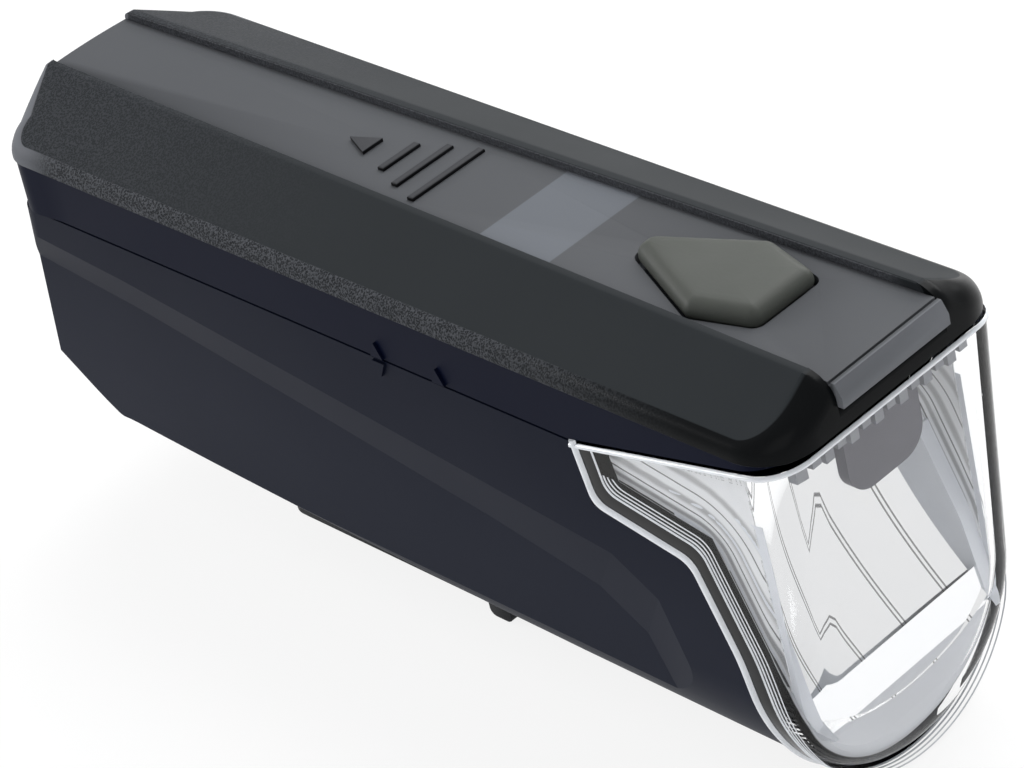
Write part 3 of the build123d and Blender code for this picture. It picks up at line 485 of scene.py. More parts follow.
panelLook = {
    "light": (0.068, 0.071, 0.077), "dark": (0.060, 0.063, 0.069), "cloud": 30.0, "grain": 5200.0,
    "bumpHeight": 0.00001, "rough": (0.5, 0.6), "specular": 0.08,
    "field": (0.112, 0.121, 0.137), "fieldShare": 0.85, "fieldSpan": (0.0292, 0.0402, 0.00012),
    "fieldHeight": (0.05323, 0.05327), "nose": (0.125, 0.13, 0.142), "noseSpan": (0.0818, 0.0823),
    "markTop": (0.036, 0.037, 0.041), "markTopHeight": (0.05366, 0.05378),
    # the marks' walls: a near-black tone of painted shade and the height where it starts
    "markWallShade": (0.004, 0.004, 0.005), "markShadeFootHeight": (0.05332, 0.05334),
}


def panelMaterial():
    # satin grey with a paler printed field, painted light on the nose, and dark raised marks with painted shade
    # on their walls
    look = panelLook
    material, tree, shader = newMaterial("panelPlastic")
    axes = axesOf(tree, objectPlace(tree))
    skin = mouldedSkin(tree, look)
    inField = band(tree, axes["X"], *look["fieldSpan"])
    field = product(tree, inField, fade(tree, axes["Z"], *look["fieldHeight"]))
    markTop = fade(tree, axes["Z"], *look["markTopHeight"])
    # the marks' walls are painted near black: painted shade at the foot of each raised mark
    markWallShade = product(tree, fade(tree, axes["Z"], *look["markShadeFootHeight"]), oneMinus(tree, markTop))
    colour = paint(
        tree, skin["Color"],
        (product(tree, field, look["fieldShare"]), look["field"]),
        # the nose's paler tone is painted light, for the front face that takes less light
        (fade(tree, axes["X"], *look["noseSpan"]), look["nose"]),
        (markTop, look["markTop"]),
        (markWallShade, look["markWallShade"]),
    )
    finish(tree, shader, look, colour, skin["Roughness"], skin["Height"])
    return material


buttonLook = {
    "light": (0.066, 0.070, 0.063), "dark": (0.050, 0.054, 0.048), "cloud": 120.0, "grain": 2600.0,
    "bumpHeight": 0.000012, "rough": (0.44, 0.56), "specular": 0.14,
    "glowShare": 0.3, "glowRadius": (0.0011, 0.0012, 0.001),
}


def buttonMaterial():
    # translucent silicone: soft clouds of grey-green under a satin skin
    material, tree, shader = newMaterial("buttonSilicone")
    skin = mouldedSkin(tree, buttonLook)
    finish(tree, shader, buttonLook, skin["Color"], skin["Roughness"], skin["Height"])
    shader.inputs["Subsurface Weight"].default_value = buttonLook["glowShare"]
    shader.inputs["Subsurface Radius"].default_value = buttonLook["glowRadius"]
    shader.inputs["Subsurface Scale"].default_value = 1.0
    return material


def lensMaterial():
    # clear plastic, its colour a trace uneven
    material, tree, shader = newMaterial("lensClear")
    colour = mixColour(tree, noise(tree, 60.0), (1.0, 1.0, 1.0), (0.985, 0.99, 0.998))
    tree.links.new(colour, shader.inputs["Base Color"])
    shader.inputs["Transmission Weight"].default_value = 1.0
    shader.inputs["IOR"].default_value = 1.26
    shader.inputs["Roughness"].default_value = 0.01
    return material


mirrorLook = {
    "light": (1.0, 1.0, 1.0), "dark": (0.98, 0.985, 0.99), "peelScale": 500.0, "peelHeight": 0.000006,
    "lines": (0.0032, 0.0037, 0.0094, 0.0099), "lineHalf": 0.00009, "lineSoft": 0.00004, "lineShare": 0.8,
    "lineTone": (0.06, 0.06, 0.065),
}


def mirrorMaterial(name, lines):
    # bright metal coat with a very faint orange-peel, and thin dark double lines where the strips meet
    look = mirrorLook
    material, tree, shader = newMaterial(name)
    peel = noise(tree, look["peelScale"])
    colour = mixColour(tree, peel, look["light"], look["dark"])
    side = mathNode(tree, "ABSOLUTE", axesOf(tree, objectPlace(tree))["Y"])
    for spot in lines:
        dark = band(tree, side, spot - look["lineHalf"], spot + look["lineHalf"], look["lineSoft"])
        colour = mixColour(tree, product(tree, dark, look["lineShare"]), colour, look["lineTone"])
    tree.links.new(colour, shader.inputs["Base Color"])
    shader.inputs["Metallic"].default_value = 1.0
    shader.inputs["Roughness"].default_value = 0.05
    bump(tree, shader, peel, look["peelHeight"])
    return material


finLook = {
    "light": (0.93, 0.94, 0.96), "dark": (0.82, 0.84, 0.87), "cloud": 300.0, "grain": 3000.0,
    "bumpHeight": 0.000004, "rough": (0.12, 0.2), "specular": 0.6, "lineTone": (0.03, 0.032, 0.04),
    # bands by distance from the seam line in millimetres: from, to, softness, darkness
    "lines": (
        (3.95, 4.2, 0.06, 0.95), (4.8, 5.5, 0.2, 0.6), (6.1, 6.3, 0.06, 0.95),
        (6.9, 7.9, 0.3, 0.55), (9.0, 9.2, 0.06, 0.9), (10.4, 11.4, 0.35, 0.5),
    ),
}


def finMaterial():
    # bright plate with dark lines and grey bands at fixed distances from the seam line, read from rimShare; the
    # lines and bands are painted reflection, standing for streaks seen through the lens wall
    material, tree, shader = newMaterial("finCoat")
    skin = mouldedSkin(tree, finLook)
    share = rimShare(tree)
    colour = skin["Color"]
    # each line or band is painted reflection, a streak seen through the lens wall
    for low, high, soft, strength in finLook["lines"]:
        dark = product(tree, band(tree, share, low, high, soft), strength)
        colour = mixColour(tree, dark, colour, finLook["lineTone"])
    finish(tree, shader, finLook, colour, skin["Roughness"], skin["Height"])
    return material


def metalMaterial(name, light, dark, roughLow, roughHigh, stretch):
    # drawn or plated metal: noise stretched along the beam changes tone and roughness
    material, tree, shader = newMaterial(name)
    streak = noise(tree, 300.0, 4.0, stretch=stretch)
    tree.links.new(mixColour(tree, streak, light, dark), shader.inputs["Base Color"])
    rough = mathNode(tree, "MULTIPLY_ADD", streak, roughHigh - roughLow, roughLow)
    tree.links.new(rough, shader.inputs["Roughness"])
    shader.inputs["Metallic"].default_value = 1.0
    bump(tree, shader, streak, 0.00001)
    return material


plasticLooks = {
    # key: the material's name, then the values of lookFields
    "apron": ("apronPlastic", (0.80, 0.81, 0.84), (0.70, 0.71, 0.75), 300, 3000, 4e-6, (0.2, 0.3), 0.5),
    "cheek": ("cheekPlastic", (0.80, 0.83, 0.88), (0.74, 0.77, 0.83), 300, 3000, 4e-6, (0.2, 0.3), 0.4),
    "border": ("borderGloss", (0.004, 0.004, 0.005), (0.003, 0.003, 0.004), 200, 3000, 4e-6, (0.15, 0.2), 0.25),
    # the lens rim's bright tone is a painted highlight, standing for light caught in the clear lens edge
    "lensPaintedGlint": ("lensPaintedGlint", (0.78, 0.8, 0.83), (0.6, 0.62, 0.66), 500, 3000, 4e-6, (0.06, 0.12), 0.7),
    "led_hood": ("hoodPlastic", (0.15, 0.148, 0.172), (0.12, 0.118, 0.14), 120, 4000, 1e-5, (0.4, 0.5), 0.3),
    "tooth": ("toothPlastic", (0.34, 0.35, 0.38), (0.22, 0.23, 0.26), 700, 4000, 1e-5, (0.3, 0.4), 0.4),
    "rail": ("railPlastic", (0.011, 0.012, 0.015), (0.008, 0.009, 0.011), 60, 3200, 3e-5, (0.5, 0.62), 0.15),
    "inner": ("innerPlastic", (0.03, 0.03, 0.033), (0.022, 0.022, 0.024), 60, 3000, 4e-5, (0.5, 0.6), 0.5),
    "board": ("boardLacquer", (0.02, 0.13, 0.06), (0.015, 0.10, 0.045), 250, 2500, 2e-5, (0.25, 0.35), 0.5),
    "chip": ("chipResin", (0.025, 0.025, 0.027), (0.018, 0.018, 0.02), 500, 5000, 3e-5, (0.5, 0.6), 0.5),
    "plunger": ("plungerPlastic", (0.55, 0.52, 0.45), (0.5, 0.47, 0.4), 400, 4000, 1e-5, (0.35, 0.45), 0.5),
    "cell": ("cellSleeve", (0.36, 0.37, 0.39), (0.3, 0.31, 0.33), 60, 1500, 8e-6, (0.25, 0.35), 0.5),
    "redLead": ("redSleeve", (0.42, 0.03, 0.025), (0.34, 0.02, 0.02), 300, 3000, 1e-5, (0.4, 0.5), 0.5),
    "blackLead": ("blackSleeve", (0.02, 0.02, 0.022), (0.015, 0.015, 0.016), 300, 3000, 1e-5, (0.4, 0.5), 0.5),
    "led": ("ledResin", (0.85, 0.76, 0.3), (0.78, 0.68, 0.22), 800, 4000, 1e-5, (0.15, 0.25), 0.5),
    "led_board": ("whiteMask", (0.78, 0.79, 0.8), (0.72, 0.73, 0.74), 300, 3000, 1e-5, (0.35, 0.45), 0.5),
}

metalLooks = {
    # key: the material's name, light and dark tone, lowest and highest roughness, stretch of the streaks
    "heat_sink": ("sinkAluminium", (0.72, 0.73, 0.74), (0.6, 0.61, 0.62), 0.28, 0.42, 12.0),
    "steel": ("screwSteel", (0.6, 0.6, 0.61), (0.48, 0.48, 0.49), 0.25, 0.4, 3.0),
    "nickel": ("contactNickel", (0.75, 0.72, 0.66), (0.62, 0.6, 0.55), 0.2, 0.32, 5.0),
}

materials = {
    "lower_housing": housingMaterial(),
    "top_cover": coverMaterial(),
    "top_panel": panelMaterial(),
    "power_button": buttonMaterial(),
    "lens": lensMaterial(),
    "lens_seal": sealMaterial(),
    "reflector": mirrorMaterial("mirrorCoat", ()),
    "mirrorStrips": mirrorMaterial("mirrorStrips", mirrorLook["lines"]),
    "fin": finMaterial(),
}
materials.update({key: plainPlastic(*values) for key, values in plasticLooks.items()})
materials.update({key: metalMaterial(*values) for key, values in metalLooks.items()})

wearers = {
    "rail": ("mount_rail", "release_latch"),
    "inner": ("front_bulkhead",),
    "board": ("main_board",),
    "chip": ("driver_chip", "driver_coil", "push_switch"),
    "plunger": ("switch_plunger",),
    "cell": ("cell_1", "cell_2", "cell_3", "cell_4"),
    "redLead": ("positive_lead",),
    "blackLead": ("negative_lead",),
    "led": ("led_emitter", "status_led"),
    "steel": ("board_screws", "reflector_screws", "rail_screws", "latch_pin"),
    "nickel": ("rear_contacts", "front_contacts", "rear_springs", "front_springs", "latch_spring"),
}


def dress(piece, material):
    # one material on the whole piece
    piece.data.materials.clear()
    piece.data.materials.append(material)


# a material goes to its wearers, or to the node that has its name
for key, material in materials.items():
    for name in wearers.get(key, (key,)):
        if name in nodes:
            dress(nodes[name], material)
print("materials ready")


# Making of pieces

def gridFaces(start, rows, columns, closed):
    # one quad between each two neighbours in both directions; closed joins the last column to the first
    index = start + np.arange(rows * columns).reshape(rows, columns)
    if closed:
        index = np.concatenate([index, index[:, :1]], axis=1)
    quads = np.stack([index[:-1, :-1], index[:-1, 1:], index[1:, 1:], index[1:, :-1]], axis=-1)
    return quads.reshape(-1, 4).tolist()


def makePiece(name, grids, body, material, replaced=(), sharp=60.0, shares=None):
    # grids are (points, closed, capped): quads over each, flat faces on its first and last row where capped
    # shares are numbers for the first points that the material reads as rimShare
    vertices = []
    faces = []
    count = 0
    for points, closed, capped in grids:
        rows, columns = points.shape[:2]
        vertices.append(place(points.reshape(-1, 3)))
        faces += gridFaces(count, rows, columns, closed)
        if capped:
            faces.append(list(range(count, count + columns))[::-1])
            faces.append(list(range(count + (rows - 1) * columns, count + rows * columns)))
        count += rows * columns
    mesh = bpy.data.meshes.new(name)
    mesh.from_pydata(np.concatenate(vertices).tolist(), [], faces)
    if shares is not None:
        values = np.zeros(count)
        values[:shares.size] = shares.ravel()
        mesh.attributes.new("rimShare", "FLOAT", "POINT").data.foreach_set("value", values)
    work = bmesh.new()
    work.from_mesh(mesh)
    bmesh.ops.remove_doubles(work, verts=work.verts, dist=1.5e-6)
    bmesh.ops.dissolve_degenerate(work, edges=work.edges, dist=1e-7)
    bmesh.ops.recalc_face_normals(work, faces=work.faces)
    for face in work.faces:
        face.smooth = True
    work.to_mesh(mesh)
    work.free()
    mesh.set_sharp_from_angle(angle=math.radians(sharp))
    piece = bpy.data.objects.new(name, mesh)
    scene.collection.objects.link(piece)
    dress(piece, material)
    if replaced:
        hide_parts(*replaced)
    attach(piece, body)


def boxGrid(x, y, z):
    # a box as two rows of four corners, from its lowest to its highest height
    loop = [(x[0], y[0]), (x[1], y[0]), (x[1], y[1]), (x[0], y[1])]
    return np.array([[(px, py, pz) for px, py in loop] for pz in z], float), True, True


def prismGrid(outline, near, far):
    # an outline of (station, height) points carried across from one offset to the other
    return np.array([[(px, side, pz) for px, pz in outline] for side in (near, far)], float), True, True


def plateGrids(outer, inner):
    # two like surfaces with a strip between their borders, which run once round each grid
    def border(surface):
        # first row, last column, last row and first column, each point once
        return np.concatenate([surface[0], surface[1:, -1], surface[-1, -2::-1], surface[-2:0:-1, 0]])
    strip = np.stack([border(outer), border(inner)])
    return [(outer, False, False), (inner, False, False), (strip, True, False)]


def cornerArc(centre, radius, first, last, count):
    # points and outward directions round the centre, from the first to the last angle in degrees
    angles = np.radians(np.linspace(first, last, count))
    outward = np.stack([np.cos(angles), np.sin(angles)], axis=1)
    return np.hstack([np.array(centre) + radius * outward, outward])


def join(*parts):
    # points from arrays of their coordinates, each first repeated to the largest shape
    return np.stack(np.broadcast_arrays(*parts), axis=-1).astype(float)


# Panel, rail and latch: the node's own faces with soft edges

softForm = {
    "mergeDistance": 2e-6, "angle": 28.0, "segments": 2, "flatAngle": 0.6,
    # node: body, slot, width of the soft edge
    "nodes": {
        "top_panel": ("cover", "panel_plastic", 0.00014),
        "mount_rail": ("housing", "rail_plastic", 0.0002),
        "release_latch": ("latch", "rail_plastic", 0.0002),
    },
    # the panel's rear end, which bulges like the cover's
    "bulgeNode": "top_panel", "bulgeLimit": -0.0448, "bulge": 0.0014, "bulgeHalf": 0.0139,
    "longEdge": 0.004, "cuts": 14,
}


def bulgeRear(work):
    # long cross edges behind the limit are split, then points there move back by bulge * (1 - share squared)
    s = softForm
    rear = [
        edge for edge in work.edges
        if max(v.co.x for v in edge.verts) < s["bulgeLimit"] and edge.calc_length() > s["longEdge"]
    ]
    bmesh.ops.subdivide_edges(work, edges=rear, cuts=s["cuts"])
    for vertex in work.verts:
        if vertex.co.x < s["bulgeLimit"]:
            vertex.co.x -= s["bulge"] * (1.0 - (vertex.co.y / s["bulgeHalf"]) ** 2)


def softCopy(name, body, slotName, width):
    # the node's own faces, merged, with every edge sharper than the angle rounded by the width
    s = softForm
    mesh = nodes[name].data.copy()
    work = bmesh.new()
    work.from_mesh(mesh)
    bmesh.ops.remove_doubles(work, verts=work.verts, dist=s["mergeDistance"])
    bmesh.ops.dissolve_degenerate(work, edges=work.edges, dist=1e-6)
    flat = math.radians(s["flatAngle"])
    bmesh.ops.dissolve_limit(work, angle_limit=flat, verts=work.verts, edges=work.edges)
    if name == s["bulgeNode"]:
        bulgeRear(work)
    for face in work.faces:
        face.smooth = True
    work.to_mesh(mesh)
    work.free()
    if mesh.has_custom_normals:
        mesh.normals_split_custom_set([(0.0, 0.0, 0.0)] * len(mesh.loops))
    piece = bpy.data.objects.new(name + "Soft", mesh)
    scene.collection.objects.link(piece)
    modifier = piece.modifiers.new("softEdges", "BEVEL")
    modifier.width = width
    modifier.segments = s["segments"]
    modifier.limit_method = "ANGLE"
    modifier.angle_limit = math.radians(s["angle"])
    modifier.harden_normals = True
    modifier.use_clamp_overlap = True
    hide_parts(name)
    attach(piece, body)


for name, values in softForm["nodes"].items():
    softCopy(name, *values)
print("soft edges ready")


# Top cover: a shell carried round the plan outline, from its roof inside over skirt, band, facet and ridge

coverForm = {
    "rear": 0.5, "front": 129.0, "half": 18.0, "rearRound": 5.4, "frontRound": 6.6,
    "rearSteps": 15, "sideSteps": 60, "frontSteps": 17,
    "bulge": 1.65, "bulgeHalf": 13.85, "bulgeFoot": 0.647, "rearTurn": 13.4, "slopeFrom": 8.0,
    "rearOffsets": (0.0, 2.0, 4.0, 5.95, 6.02, 6.5, 7.0, 7.6, 8.6, 9.6, 10.6, 11.6, 12.6),
    "frontOffsets": (10.6, 9.9, 9.3, 8.9, 8.6, 8.37, 8.3, 6.0, 3.0, 0.0),
    "rearLip": 3.2, "ridgeLip": 1.0, "frontLip": 3.2, "lipPower": 1.5, "bandWidth": 1.3, "bandFoot": 7.3,
    "bandGap": 0.25, "bandTurn": 76.0, "bandSteps": 8, "facetFoot": 9.4, "facetHalf": 16.7,
    "ridgeRear": 7.0, "ridgeFront": 9.35, "ridgeTop": 14.0, "ridgeWall": 1.0,
    "ridgeSteps": ((0.55, 0.0), (0.12, 0.02), (-0.12, 0.0), (-0.85, 0.0), (-1.0, 0.14)),
    # the open ends of the channel, rear and front: half width, floor, set back, drop of the outer edge
    "ends": ((6.0, 11.6, 0.18, 0.5), (8.35, 10.1, 1.2, 1.2)), "channel": 11.6,
    "seam": 0.15, "riseStation": 96.8, "riseShare": 0.22, "wall": 2.3, "endWallLess": 0.6,
    # rows inside: widest offset, lowest height, least height over the edge
    "inside": ((9.35, 10.0, 0.5), (14.5, 7.7, 0.4), (18.0, 6.7, 0.2), (18.0, 0.0, 0.0)),
    # rows of the skirt: share of the set back, more set back, lowest height, least height over the edge
    "skirt": ((1.0, 0.0, 0.0, 0.0), (1.0, 0.2, 6.9, 0.1), (0.0, 0.08, 7.2, 0.18)),
    "setBack": (0.05, 0.6), "setBackStations": (5.0, 10.0), "bandRows": (7, 15), "wallRows": 2,
    "marks": (67.0, 77.0), "markHalf": 1.0, "markHeights": (0.3, 2.3), "markOffsets": (17.05, 17.75),
    # hooks: leg, foot and root by their offsets and heights
    "hooks": (20.0, 84.0), "hookHalf": 2.5,
    "hookBoxes": (((13.75, 14.4), (-4.0, 3.0)), ((13.8, 15.8), (-4.0, -2.5)), ((13.8, 16.0), (0.6, 2.95))),
}


def ridgeHalf(station):
    # grows evenly from the rear value to the front value
    c = coverForm
    share = (station - c["rear"]) / (c["front"] - c["rear"])
    return c["ridgeRear"] + (c["ridgeFront"] - c["ridgeRear"]) * share


def facetHeight(station, offset):
    # rises evenly from the facet's foot to the ridge, then stays level
    c = coverForm
    share = (c["facetHalf"] - np.abs(offset)) / (c["facetHalf"] - ridgeHalf(station))
    return c["facetFoot"] + np.clip(share, 0.0, 1.0) * (c["ridgeTop"] - c["facetFoot"])


def edgeRise(station):
    # level up to the rise station, then a straight climb
    return np.maximum(station - coverForm["riseStation"], 0.0) * coverForm["riseShare"]


def coverOutline():
    # half of the plan outline: a bulge of 1 - share squared, a corner, the side, a corner, the front end
    c = coverForm
    offset = np.array(c["rearOffsets"])
    bulge = c["bulge"] * (1.0 - (offset / c["bulgeHalf"]) ** 2)
    slope = np.where(offset > c["slopeFrom"], 2.0 * c["bulge"] * offset / c["bulgeHalf"] ** 2, 0.0)
    length = np.hypot(1.0, slope)
    rearTurn = 180.0 - c["rearTurn"]
    start = c["rear"] + c["rearRound"]
    end = c["front"] - c["frontRound"]
    return np.concatenate([
        join(c["bulgeFoot"] - bulge, offset, -1.0 / length, slope / length),
        cornerArc((start, c["half"] - c["rearRound"]), c["rearRound"], rearTurn, 90.0, c["rearSteps"]),
        join(np.linspace(start, end, c["sideSteps"])[1:-1], c["half"], 0.0, 1.0),
        cornerArc((end, c["half"] - c["frontRound"]), c["frontRound"], 90.0, 0.0, c["frontSteps"]),
        join(c["front"], np.array(c["frontOffsets"]), 1.0, 0.0),
    ])


def coverRows():
    # each row is the outline moved inwards by some amount at some height, then both halves are joined
    c = coverForm
    px, py, nx, ny = coverOutline().T
    rearward = nx < 0
    ends = [np.where(rearward, rear, front) for rear, front in zip(*c["ends"])]
    endHalf, endFloor, endBack, endDrop = ends
    middle = (py < endHalf) & (rearward | (nx > 0.999))
    rearLip = np.interp(py, (c["ridgeRear"], c["bulgeHalf"]), (c["ridgeLip"], c["rearLip"]))
    lip = np.where(rearward, rearLip, c["frontLip"])
    depth = c["bandWidth"] + (lip - c["bandWidth"]) * np.abs(nx) ** c["lipPower"]
    depth = np.where(middle, endBack, depth)
    tx = px - nx * depth
    ty = py - ny * depth
    top = np.where(middle, endFloor, facetHeight(tx, ty))
    edge = edgeRise(px) + c["seam"]
    foot = np.maximum(c["bandFoot"], edge + c["bandGap"])
    shoulder = foot + np.maximum(top - lip - foot, 0.0) * np.abs(nx)
    shoulder = np.where(middle, endFloor - endDrop, shoulder)
    wall = c["wall"] - c["endWallLess"] * np.abs(nx)
    setBack = np.interp(px, c["setBackStations"], c["setBack"])
    rows = []
    for widest, lowest, gap in c["inside"]:
        rows.append((px - nx * wall, np.minimum(py - ny * wall, widest), np.maximum(lowest, edge + gap)))
    for share, more, lowest, gap in c["skirt"]:
        inward = setBack * share + more
        rows.append((px - nx * inward, py - ny * inward, np.maximum(lowest, edge + gap)))
    rows.append((px, py, foot))
    last = math.radians(c["bandTurn"])
    for angle in np.linspace(0.0, last, c["bandSteps"]):
        inward = depth * (1.0 - math.cos(angle)) / (1.0 - math.cos(last))
        height = shoulder + (top - shoulder) * math.sin(angle) / math.sin(last)
        rows.append((px - nx * inward, py - ny * inward, height))
    for out, drop in c["ridgeSteps"]:
        y = np.where(middle, ty, np.minimum(ty, ridgeHalf(tx) + out))
        rows.append((tx, y, np.where(middle, top, facetHeight(tx, y) - drop)))
    y = np.where(middle, ty, np.minimum(ty, ridgeHalf(tx) - c["ridgeWall"]))
    rows.append((tx, y, np.full_like(px, c["channel"])))
    half = np.array(rows).transpose(0, 2, 1)
    other = half[:, -2:0:-1, :] * np.array([1.0, -1.0, 1.0])
    return np.concatenate([half, other], axis=1)


def coverExtras():
    # seam marks as small upright triangles, and the hooks' boxes, on both sides
    c = coverForm
    low, high = c["markHeights"]
    grids = []
    for side in (-1.0, 1.0):
        near, far = (side * offset for offset in c["markOffsets"])
        for station in c["marks"]:
            outline = [(station - c["markHalf"], low), (station + c["markHalf"], low), (station, high)]
            grids.append(prismGrid(outline, near, far))
        for station in c["hooks"]:
            span = (station - c["hookHalf"], station + c["hookHalf"])
            for offsets, heights in c["hookBoxes"]:
                grids.append(boxGrid(span, sorted(side * offset for offset in offsets), heights))
    return grids


coverGrid = coverRows()
coverShares = np.zeros(coverGrid.shape[:2])
coverShares[slice(*coverForm["bandRows"])] = 1.0
coverShares[-coverForm["wallRows"]:] = -1.0
makePiece(
    "coverShell", [(coverGrid, True, True)] + coverExtras(), "cover", materials["top_cover"],
    ("top_cover",), 30.0, coverShares,
)
print("cover ready")


# Power button: a pillow on a six-sided outline, with its stem and collar

buttonForm = {
    "corners": [(94.8, 1.3), (107.4, 6.9), (115.4, 4.7), (115.4, -4.7), (107.4, -6.9), (94.8, -1.3)],
    "cornerRound": 1.5, "cornerSteps": 9, "foot": 12.5, "shoulder": 13.3, "top": 14.9, "pillow": 1.9,
    "pillowTurn": 76.0, "pillowSteps": 9, "edge": 0.3, "tuck": (0.3, 0.05, 0.0),
    "middle": 106.0, "crown": 0.08, "crownPower": 6, "crownShares": (0.88, 0.7, 0.5),
    # stem and collar: radius and height
    "stemStation": 107.0, "stemSides": 32,
    "stem": ((2.0, 8.6), (2.0, 9.3), (3.0, 9.3), (3.0, 10.0), (2.0, 10.0), (2.0, 12.7)),
}


def roundedOutline(corners, radius, steps):
    # an arc of the radius in each corner, centred on the corner's bisector, as points and outward directions
    corners = np.array(corners)
    before = np.roll(corners, 1, axis=0) - corners
    after = np.roll(corners, -1, axis=0) - corners
    before /= np.linalg.norm(before, axis=1)[:, None]
    after /= np.linalg.norm(after, axis=1)[:, None]
    middle = (before + after) / np.linalg.norm(before + after, axis=1)[:, None]
    half = np.arccos(np.clip((before * after).sum(axis=1), -1.0, 1.0)) / 2
    centre = corners + middle * (radius / np.sin(half))[:, None]
    turn = np.where(before[:, 0] * after[:, 1] - before[:, 1] * after[:, 0] < 0, 1.0, -1.0)
    swing = ((math.pi / 2 - half) * turn)[:, None] * np.linspace(-1.0, 1.0, steps)
    angles = np.arctan2(-middle[:, 1], -middle[:, 0])[:, None] + swing
    outward = np.stack([np.cos(angles), np.sin(angles)], axis=2)
    return np.concatenate([centre[:, None] + radius * outward, outward], axis=2).reshape(-1, 4)


def buttonGrids():
    # rows of the outline moved in and up along a quarter ellipse, then scaled to the middle; a turned stem
    b = buttonForm
    px, py, nx, ny = roundedOutline(b["corners"], b["cornerRound"], b["cornerSteps"]).T
    angle = np.radians(np.linspace(0.0, b["pillowTurn"], b["pillowSteps"]))
    climb = (b["top"] - b["crown"] - b["shoulder"]) * np.sin(angle) / np.sin(angle[-1])
    inward = np.concatenate([b["tuck"], b["pillow"] * (1.0 - np.cos(angle))])[:, None]
    wall = (b["foot"], b["foot"] + b["edge"], b["shoulder"] - b["edge"])
    height = np.concatenate([wall, b["shoulder"] + climb])[:, None]
    rows = join(px - nx * inward, py - ny * inward, height)
    share = np.array(b["crownShares"])[:, None, None]
    centre = np.array([b["middle"], 0.0, b["top"]])
    crown = centre + (rows[-1] - centre) * share
    crown[:, :, 2] = b["top"] - b["crown"] * share[:, :, 0] ** b["crownPower"]
    turn = np.linspace(0.0, 2.0 * math.pi, b["stemSides"] + 1)[:-1]
    radius, level = np.array(b["stem"]).T[:, :, None]
    stem = join(b["stemStation"] + radius * np.cos(turn), radius * np.sin(turn), level)
    return [(np.concatenate([rows, crown]), True, True), (stem, True, True)]


makePiece(
    "buttonPillow", buttonGrids(), "button", materials["power_button"], ("power_button",),
)
print("button ready")


# Lens: the same surface twice, outer and inner, closed along the seam line and the top

lensForm = {
    "half": 17.4, "centre": -25.6, "wall": 2.2, "round": 4.4, "topDrop": 0.25, "frontFoot": 124.6,
    "lean": 0.08, "keel": 43.0, "keelSteps": 61, "wallSteps": 15, "roundSteps": 9, "topStation": 96.9,
    "repeats": 4,
    "lineDepths": (-0.3, 8.0, 10.5, 21.5, 33.1, 50.0),
    "lineStations": (96.9, 98.5, 112.0, 116.3, 118.9, 120.0),
    "rowDepths": (
        1.0, 2.5, 4.0, 5.5, 7.0, 7.6, 8.0, 8.3, 8.7, 9.1, 9.5, 9.9, 10.2, 10.5, 11.2, 12.5, 14.5, 17.0,
        19.5, 21.5, 23.5,
    ),
    "insets": (5.2, 6.6, 8.4, 10.4, 12.6, 15.0),
}


def seamStation(depth):
    # straight runs between the seam line's corners
    return np.interp(depth, lensForm["lineDepths"], lensForm["lineStations"])


def lensTop(station):
    # the cover's rising edge, lower by the top drop
    return (station - coverForm["riseStation"]) * coverForm["riseShare"] - lensForm["topDrop"]


def lensSurface(inset):
    # rows run down one side, round the keel and up the other; columns along the wall, round the rim, inwards
    f = lensForm
    centre = f["centre"]
    half = f["half"] - inset
    radius = f["round"] - inset
    depths = np.array(f["rowDepths"])
    stations = seamStation(depths)
    top = lensTop(stations)
    shares = np.concatenate([[0.0], (top + depths) / (top - centre), [1.0]])
    starts = np.concatenate([[f["topStation"]], stations, [seamStation(-centre)]])
    angles = np.radians(np.linspace(0.0, 180.0, f["keelSteps"]))[1:-1]
    flat = np.ones(len(shares))
    side = np.concatenate([-flat, -np.cos(angles), flat])
    share = np.concatenate([shares, np.ones(len(angles)), shares[::-1]])
    down = np.concatenate([0 * flat, np.sin(angles), 0 * flat])
    start = np.concatenate([starts, seamStation(-centre + f["half"] * np.sin(angles)), starts[::-1]])
    turn = np.radians(np.linspace(0.0, 90.0, f["roundSteps"]))[1:]
    insets = np.minimum([*f["insets"], half], half)
    wall = np.linspace(0.0, 1.0, f["wallSteps"])
    along = np.concatenate([wall, np.ones(len(turn) + len(insets))])[:, None]
    forward = np.concatenate([0 * wall, np.sin(turn), np.ones(len(insets))])[:, None]
    moved = np.concatenate([0 * wall, radius * (1.0 - np.cos(turn)), insets])[:, None]
    reach = half - moved
    onKeel = centre - down * reach
    station = start + 0 * along
    for repeat in range(f["repeats"]):  # the height and the station depend on each other
        top = lensTop(station)
        z = np.where(down > 0.0, onKeel, top + (centre - top) * share)
        face = f["frontFoot"] - inset + (z + f["keel"]) * f["lean"]
        station = start + (face - radius - start) * along + radius * forward
    return join(station, side * reach, z).transpose(1, 0, 2)


def lensGrids():
    # outer and inner surface with strips between their first columns, first rows and last rows
    outer = lensSurface(0.0)
    inner = lensSurface(lensForm["wall"])
    seam = np.stack([outer[:, 0], inner[:, 0]])
    first = np.stack([outer[0], inner[0]])
    last = np.stack([outer[-1], inner[-1]])
    return [(grid, False, False) for grid in (outer, inner, seam, first, last)]


makePiece("lensShell", lensGrids(), "housing", materials["lens"], ("lens",), 35.0)
print("lens ready")


# Lens rim: a bright bead along the seam line and the top edge, then a black border and bright lines; the bead
# and the lines are painted highlight, standing for light caught in the clear lens edge

